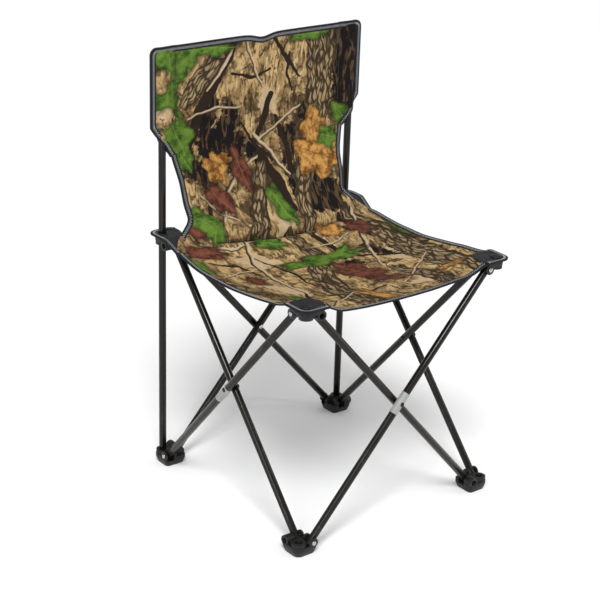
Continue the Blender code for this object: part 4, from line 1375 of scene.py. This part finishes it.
# %% Tape and thread finishes
def woven_tape():
    finish, tree, shader, place = start_finish("black_binding_tape", 0.66)
    feeds = {"Vector": place, "Scale": 420.0, "Distortion": 1.5, "Detail": 2.0, "Detail Scale": 2.0}
    ribs = put(tree, "ShaderNodeTexWave", feeds, wave_type="BANDS", bands_direction="DIAGONAL").outputs[1]
    cloud = grouped(tree, GRAIN, {"Vector": place, "Scale": 800.0})
    base = mixed(tree, cloud["Cloud"], (0.004, 0.004, 0.005), (0.013, 0.0135, 0.016))
    # Painted highlight: the crowns of the ribs are made lighter in colour.
    with_painted_rib_highlight = mixed(tree, calc(tree, "MULTIPLY", ribs, 0.35), base, (0.026, 0.027, 0.031))
    feed(tree, with_painted_rib_highlight, shader, "Base Color")
    feed(tree, ramp(tree, ribs, 0.0, 1.0, 0.74, 0.55), shader, "Roughness")
    shader.inputs["Specular IOR Level"].default_value = 0.14
    raise_bump(tree, shader, ribs, 0.00015, 0.6)
    return finish


def spun_thread(name, dark, light):
    finish, tree, shader, place = start_finish(name, 0.6)
    twist = put(tree, "ShaderNodeTexWave", {"Vector": place, "Scale": 1400.0, "Distortion": 0.5},
                wave_type="BANDS", bands_direction="DIAGONAL").outputs[1]
    # Painted shade and highlight: the thread is darker in the grooves of its twist and lighter on its
    # crowns.
    feed(tree, mixed(tree, twist, dark, light), shader, "Base Color")
    feed(tree, ramp(tree, twist, 0.0, 1.0, 0.7, 0.5), shader, "Roughness")
    raise_bump(tree, shader, twist, 0.0001, 0.6)
    return finish


def reinforcing_cloth():
    finish, tree, shader, place = start_finish("black_reinforcing_cloth", 0.6)
    weave = grouped(tree, WEAVE, {"Vector": place, "Pitch": 0.0009})
    cloud = grouped(tree, GRAIN, {"Vector": place, "Scale": 600.0})["Cloud"]
    shader.inputs["Specular IOR Level"].default_value = 0.20
    base = mixed(tree, cloud, (0.006, 0.006, 0.008), (0.018, 0.019, 0.023))
    # Painted highlight: the raised threads are made lighter in colour.
    painted_thread_highlight = ramp(tree, weave["Height"], 0.3, 1.1, 0.0, 0.4)
    feed(tree, mixed(tree, painted_thread_highlight, base, (0.034, 0.037, 0.044)), shader, "Base Color")
    feed(tree, ramp(tree, cloud, 0.3, 0.7, 0.5, 0.7), shader, "Roughness")
    raise_bump(tree, shader, weave["Height"], 0.00015, 0.6)
    return finish


TAPE = woven_tape()
PALE_THREAD = spun_thread("pale_zigzag_thread", (0.20, 0.21, 0.22), (0.48, 0.49, 0.52))
DARK_THREAD = spun_thread("dark_seam_thread", (0.004, 0.005, 0.004), (0.018, 0.020, 0.016))
PATCH = reinforcing_cloth()
print("trim finishes", TAPE.name, PALE_THREAD.name, DARK_THREAD.name, PATCH.name)

# %% [markdown]
# ## Edges of the sling
# The tape on each part of the sling is its own piece, so that it folds with that part. Sleeve
# tapes go round the top corner, down the hem and along the slanting foot.

# %% Paths along each part
def side_path(side, start, end, steps=160):
    t = np.linspace(start, end, steps)
    x = side * half_width(t)
    back_in = np.where(t > FRONT - 0.6, 0.25, 0.0)
    return edge_path(x, t, x - side * 0.006, t - back_in)


def front_path(steps=240):
    """Down the left side, round the corner, along the front and back up the right side."""
    t = np.linspace(CENTRE, FRONT, steps)
    x = half_width(t)
    share = np.linspace(1, -1, steps)
    across = half_width(FRONT) * share
    all_x = np.concatenate([-x, -across[1:-1], x[::-1]])
    all_t = np.concatenate([t, np.full(steps - 2, FRONT), t[::-1]])
    inner_x = np.sign(all_x) * np.maximum(np.abs(all_x) - 0.006, 0)
    inner_x = np.where(all_t >= FRONT, all_x * 0.97, inner_x)
    inner_t = np.minimum(all_t, FRONT - 0.22)
    return edge_path(all_x, all_t, inner_x, inner_t)


def sleeve_path(side, steps=200):
    """From the seam along the top, round the corner and down to the end of the slant."""
    top_x = np.linspace(SEAM_X, HEM_X - TOP_CORNER_R, 30)
    t = np.concatenate([np.linspace(TOP, 0.3, 60)[:-1], np.linspace(0.3, SLANT_FOOT, steps)])
    edge_x = sleeve_edge(line_at(1, t))
    x = np.concatenate([top_x[:-1], edge_x]) * side
    t = np.concatenate([np.full(29, TOP), t])
    inner_x = side * np.minimum(np.abs(x), HEM_X - 0.009)
    inner_x = np.where(t > 2.9, side * (np.abs(x) - 0.006), inner_x)
    inner_t = np.where(t < 0.3, 0.3, t)
    points, inward, _ = edge_path(x, t, inner_x, inner_t)
    return points, inward, np.repeat([[0.0, -1.0, 0.0]], len(points), 0)


def top_path(steps=120):
    x = np.linspace(-SEAM_X, SEAM_X, steps)
    t = np.zeros(steps)
    return edge_path(x, t, x, t + 0.15)

# %% Tapes and zigzags of the sling
def bind(name, paths, depth=0.9):
    """The tape and the zigzag thread along some paths of one cloth piece, depth mm thick."""
    tape = joined(name + "_binding", [swept(*path, tape_section(depth)) for path in paths], TAPE)
    lots = [lot for path in paths for lot in zigzag(*path)]
    thread = joined(name + "_zigzag", lots, PALE_THREAD, 30)
    return tape, thread


back_trim = bind("back", [top_path()])
lower_trim = bind("lower_back", [side_path(side, SLANT_FOOT - 0.05, APEX) for side in (-1, 1)])
ABOVE_TABS, PAST_TABS = 7.8, 9.0     # between these the cloth's edge is under the rear tabs
rear_runs = [(side, *run) for side in (-1, 1) for run in ((APEX, ABOVE_TABS), (PAST_TABS, CENTRE))]
rear_trim = bind("seat_rear", [side_path(*run) for run in rear_runs])
front_trim = bind("seat_front", [front_path()])
SLEEVE_DEPTH = 2.6        # mm of cloth inside a sleeve's tape
sleeve_trim = [bind("sleeve_" + label, [sleeve_path(side)], SLEEVE_DEPTH) for side, label in SIDES]


def seam_row(side):
    t = np.linspace(TOP + 0.12, HINGE, 90)
    x = np.full(90, side * (SEAM_X + 0.0012))
    return running(surface(x, t), np.repeat([[0.0, -1.0, 0.0]], 90, 0))


seams = [joined("sleeve_seam_" + label, seam_row(side), DARK_THREAD, 30)
         for side, label in SIDES]
sling_trim = [*back_trim, *lower_trim, *rear_trim, *front_trim]
print("trim faces", sum(len(piece.data.polygons) for piece in sling_trim))

# %% [markdown]
# ## Corner cloths
# Black reinforced cloth takes the wear where the sling meets the frame. Over each front hub it
# is a square with a rounded outer corner under a domed plug. At each rear corner it is a tab
# with a ringed hole round the upright. Both are fans of points between the hole and the outline.

# %% Corner patches and rear tabs
def outline_reach(outline, angles):
    """How far the outline is from the origin, at each angle."""
    points = np.array(outline)
    sides = zip(points, np.roll(points, -1, 0))
    dense = np.concatenate([np.linspace(a, b, 40, endpoint=False) for a, b in sides])
    at = np.arctan2(dense[:, 1], dense[:, 0])
    order = np.argsort(at)
    return np.interp(angles, at[order], np.hypot(*dense.T)[order], period=2 * math.pi)


def corner_outline(arms, start, end):
    """A rounded corner about the origin from start to end degrees, and then the inner points."""
    turns = np.radians(np.linspace(start, end, 16))
    return [(CORNER_R * math.cos(a), CORNER_R * math.sin(a)) for a in turns] + list(arms)


PATCH_THICK = 0.0010


def corner_cloth(name, centre, outline, hole, height):
    """A flat sewn cloth round a hole, height giving its face above each place."""
    angles = np.linspace(-math.pi, math.pi, 97)
    reach = outline_reach(outline, angles)
    share = np.linspace(0, 1, 12)
    radius = hole + (reach[None, :] - hole) * share[:, None]
    x = centre[0] + radius * np.cos(angles)
    y = centre[1] + radius * np.sin(angles)
    face = np.stack([x, y, height(x, y)], -1)
    lower = face - np.array((0, 0, PATCH_THICK))
    count = len(angles) - 1
    vertices = np.concatenate([layer[:, :count].reshape(-1, 3) for layer in (face, lower)])
    rows, faces = len(share), []
    under = rows * count
    for i in range(rows - 1):
        for j in range(count):
            k = (j + 1) % count
            quad = (i * count + j, i * count + k, (i + 1) * count + k, (i + 1) * count + j)
            faces.append(quad)
            faces.append(tuple(under + v for v in reversed(quad)))
    for i in (0, rows - 1):
        for j in range(count):
            k = (j + 1) % count
            faces.append((i * count + j, i * count + k, under + i * count + k, under + i * count + j))
    return joined(name, [(vertices, faces)], PATCH, 45), face[-1], face[-2]


RIM_STEP = 0.0022         # spacing of the points along a corner cloth's tape


def rim_path(rim, inner):
    """A stretch of a rim as a path with its directions, evenly spaced."""
    run = run_along(rim)
    even = np.linspace(0, run[-1], int(run[-1] / RIM_STEP))
    upward = np.repeat([[0.0, 0.0, 1.0]], len(even), 0)
    return path_frames(resampled(rim, run, even), resampled(inner, run, even), upward)

# %% The four corner cloths
PATCH_ARM = 0.0330        # corner patch, from its socket to its inner sides
PATCH_SIDES = (
    (PATCH_ARM, -CORNER_R), (PATCH_ARM + 0.002, 0.006), (PATCH_ARM - 0.002, PATCH_ARM - 0.002),
    (0.006, PATCH_ARM + 0.002), (-CORNER_R, PATCH_ARM),
)
TAB_SIDES = (
    (0.0240, CORNER_R - 0.001), (0.0330, 0.012), (0.0330, -0.004), (0.0260, -0.030), (0.0120, -0.0520),
    (-0.0030, -0.0680), (-0.0125, -0.0640), (-CORNER_R + 0.001, -0.024),
)
PATCH_HOLE, TAB_HOLE = 0.0064, 0.0073
PATCH_LIFT, TAB_LIFT = 0.0011, 0.0012    # above the sling's own face


def hub_level(x, y):
    """The corner patch's height: level on its hub, and falling a little past it."""
    off_hub = np.hypot(np.maximum(HUB_EDGE - np.abs(x), 0), np.maximum(HUB_EDGE - np.abs(y), 0))
    return LAY_Z + PATCH_LIFT - 0.05 * off_hub


def tab_level(x, y):
    """The rear tab's height: level on its slider, and then down with the sling."""
    return LAY_Z + TAB_LIFT - CORNER_SLOPE * np.maximum(HUB_EDGE - y, 0)


def mirrored(outline, side):
    """An outline drawn for the left side, turned over for the right one."""
    return [(-side * px, py) for px, py in outline]


patches, tabs = [], []
for side, label in SIDES:
    outline = mirrored(corner_outline(PATCH_SIDES, 180, 270), side)
    centre = (side * UPRIGHT_XY, -UPRIGHT_XY)
    patches.append(corner_cloth("corner_cloth_" + label, centre, outline, PATCH_HOLE, hub_level))
    outline = mirrored(corner_outline(TAB_SIDES, 180, 90), side)
    centre = (side * UPRIGHT_XY, UPRIGHT_XY)
    tabs.append(corner_cloth("tab_cloth_" + label, centre, outline, TAB_HOLE, tab_level))
print("corner cloths", len(patches) + len(tabs))

# %% [markdown]
# ## Bound edges of the corner cloths
# The outer side of each corner cloth is taped like the rest. Its path is the part of the rim
# that isn't sewn down onto the sling.

# %% Corner bindings
def outer_stretch(rim, keep):
    """The rim from its first to its last point that keep accepts, however it wraps round."""
    flags = keep(rim[:-1, 0], rim[:-1, 1])
    start = int(np.flatnonzero(flags & ~np.roll(flags, 1))[0])
    order = np.roll(np.arange(len(flags)), -start)
    return order[:int(flags.sum())]


def bind_rim(name, cloth, keep):
    _, rim, inner = cloth
    order = outer_stretch(rim, keep)
    path = rim_path(rim[order], inner[order])
    tape = joined(name + "_binding", [swept(*path, tape_section(1.0))], TAPE)
    thread = joined(name + "_zigzag", zigzag(*path), PALE_THREAD, 30)
    return tape, thread


OUTER_SIDE = 0.2125       # a rim farther out than this is an outer side
TAB_SIDE_X = 0.2065


def on_patch_outside(x, y):
    return (np.abs(x) > OUTER_SIDE) | (y < -OUTER_SIDE)


def on_tab_outside(x, y):
    return (np.abs(x) > TAB_SIDE_X) | (y > OUTER_SIDE)


patch_trim, tab_trim = [], []
for index, (side, label) in enumerate(SIDES):
    patch_trim.append(bind_rim("corner_cloth_" + label, patches[index], on_patch_outside))
    tab_trim.append(bind_rim("tab_cloth_" + label, tabs[index], on_tab_outside))
corner_trim = [piece for pair in patch_trim + tab_trim for piece in pair]
print("corner trim faces", sum(len(piece.data.polygons) for piece in corner_trim))

# %% [markdown]
# ## Riding and folding
# Each piece rides on the body that carries it. The sling itself can't follow the folding frame.
# Each of its parts is listed with where it would gather along X as the two sides close up, and
# the share of its width it would keep: the back between the uprights, and the lower back and
# seat between the corners, each towards the left side. Nothing here gathers them; tapes and
# stitches ride on the body of their cloth.

# %% Ride on the bodies
LEFT_SEAM, LEFT_SIDE = (-SEAM_X, 0, 0), (-UPRIGHT_XY, 0, 0)
BACK_KEEP, SEAT_KEEP = 0.069, 0.19       # share of its width that the cloth keeps
sling = (  # cloth, its trim, the node it stands for, its body, where it gathers to, what it keeps
    (back, back_trim, "back_panel", "root", LEFT_SEAM, BACK_KEEP),
    (lower, lower_trim, "lower_back", "sling_middle", LEFT_SIDE, SEAT_KEEP),
    (rear, rear_trim, "seat_rear", "sling_rear", LEFT_SIDE, SEAT_KEEP),
    (front, front_trim, "seat_front", "sling_front", LEFT_SIDE, SEAT_KEEP),
)
for cloth, trim, _, body, anchor, keep in sling:
    for piece in (cloth, *trim):
        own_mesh(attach(piece, body))
for index, (_, label) in enumerate(SIDES):
    foot = "root" if label == "left" else "foot_rear_right"
    for piece in (sleeves[index], *sleeve_trim[index], seams[index]):
        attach(piece, foot)
    for piece in (patches[index][0], *patch_trim[index]):
        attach(piece, "hub_front_" + label)
    for piece in (tabs[index][0], *tab_trim[index]):
        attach(piece, "slider_" + label)
    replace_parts(sleeves[index], "sleeve_" + label)
    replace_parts(patches[index][0], "corner_patch_front_" + label)
    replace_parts(tabs[index][0], "rear_tab_" + label)
for cloth, _, node, *_ in sling:
    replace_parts(cloth, node)
print("gathered", sum(1 + len(trim) for _, trim, *_ in sling), "pieces")
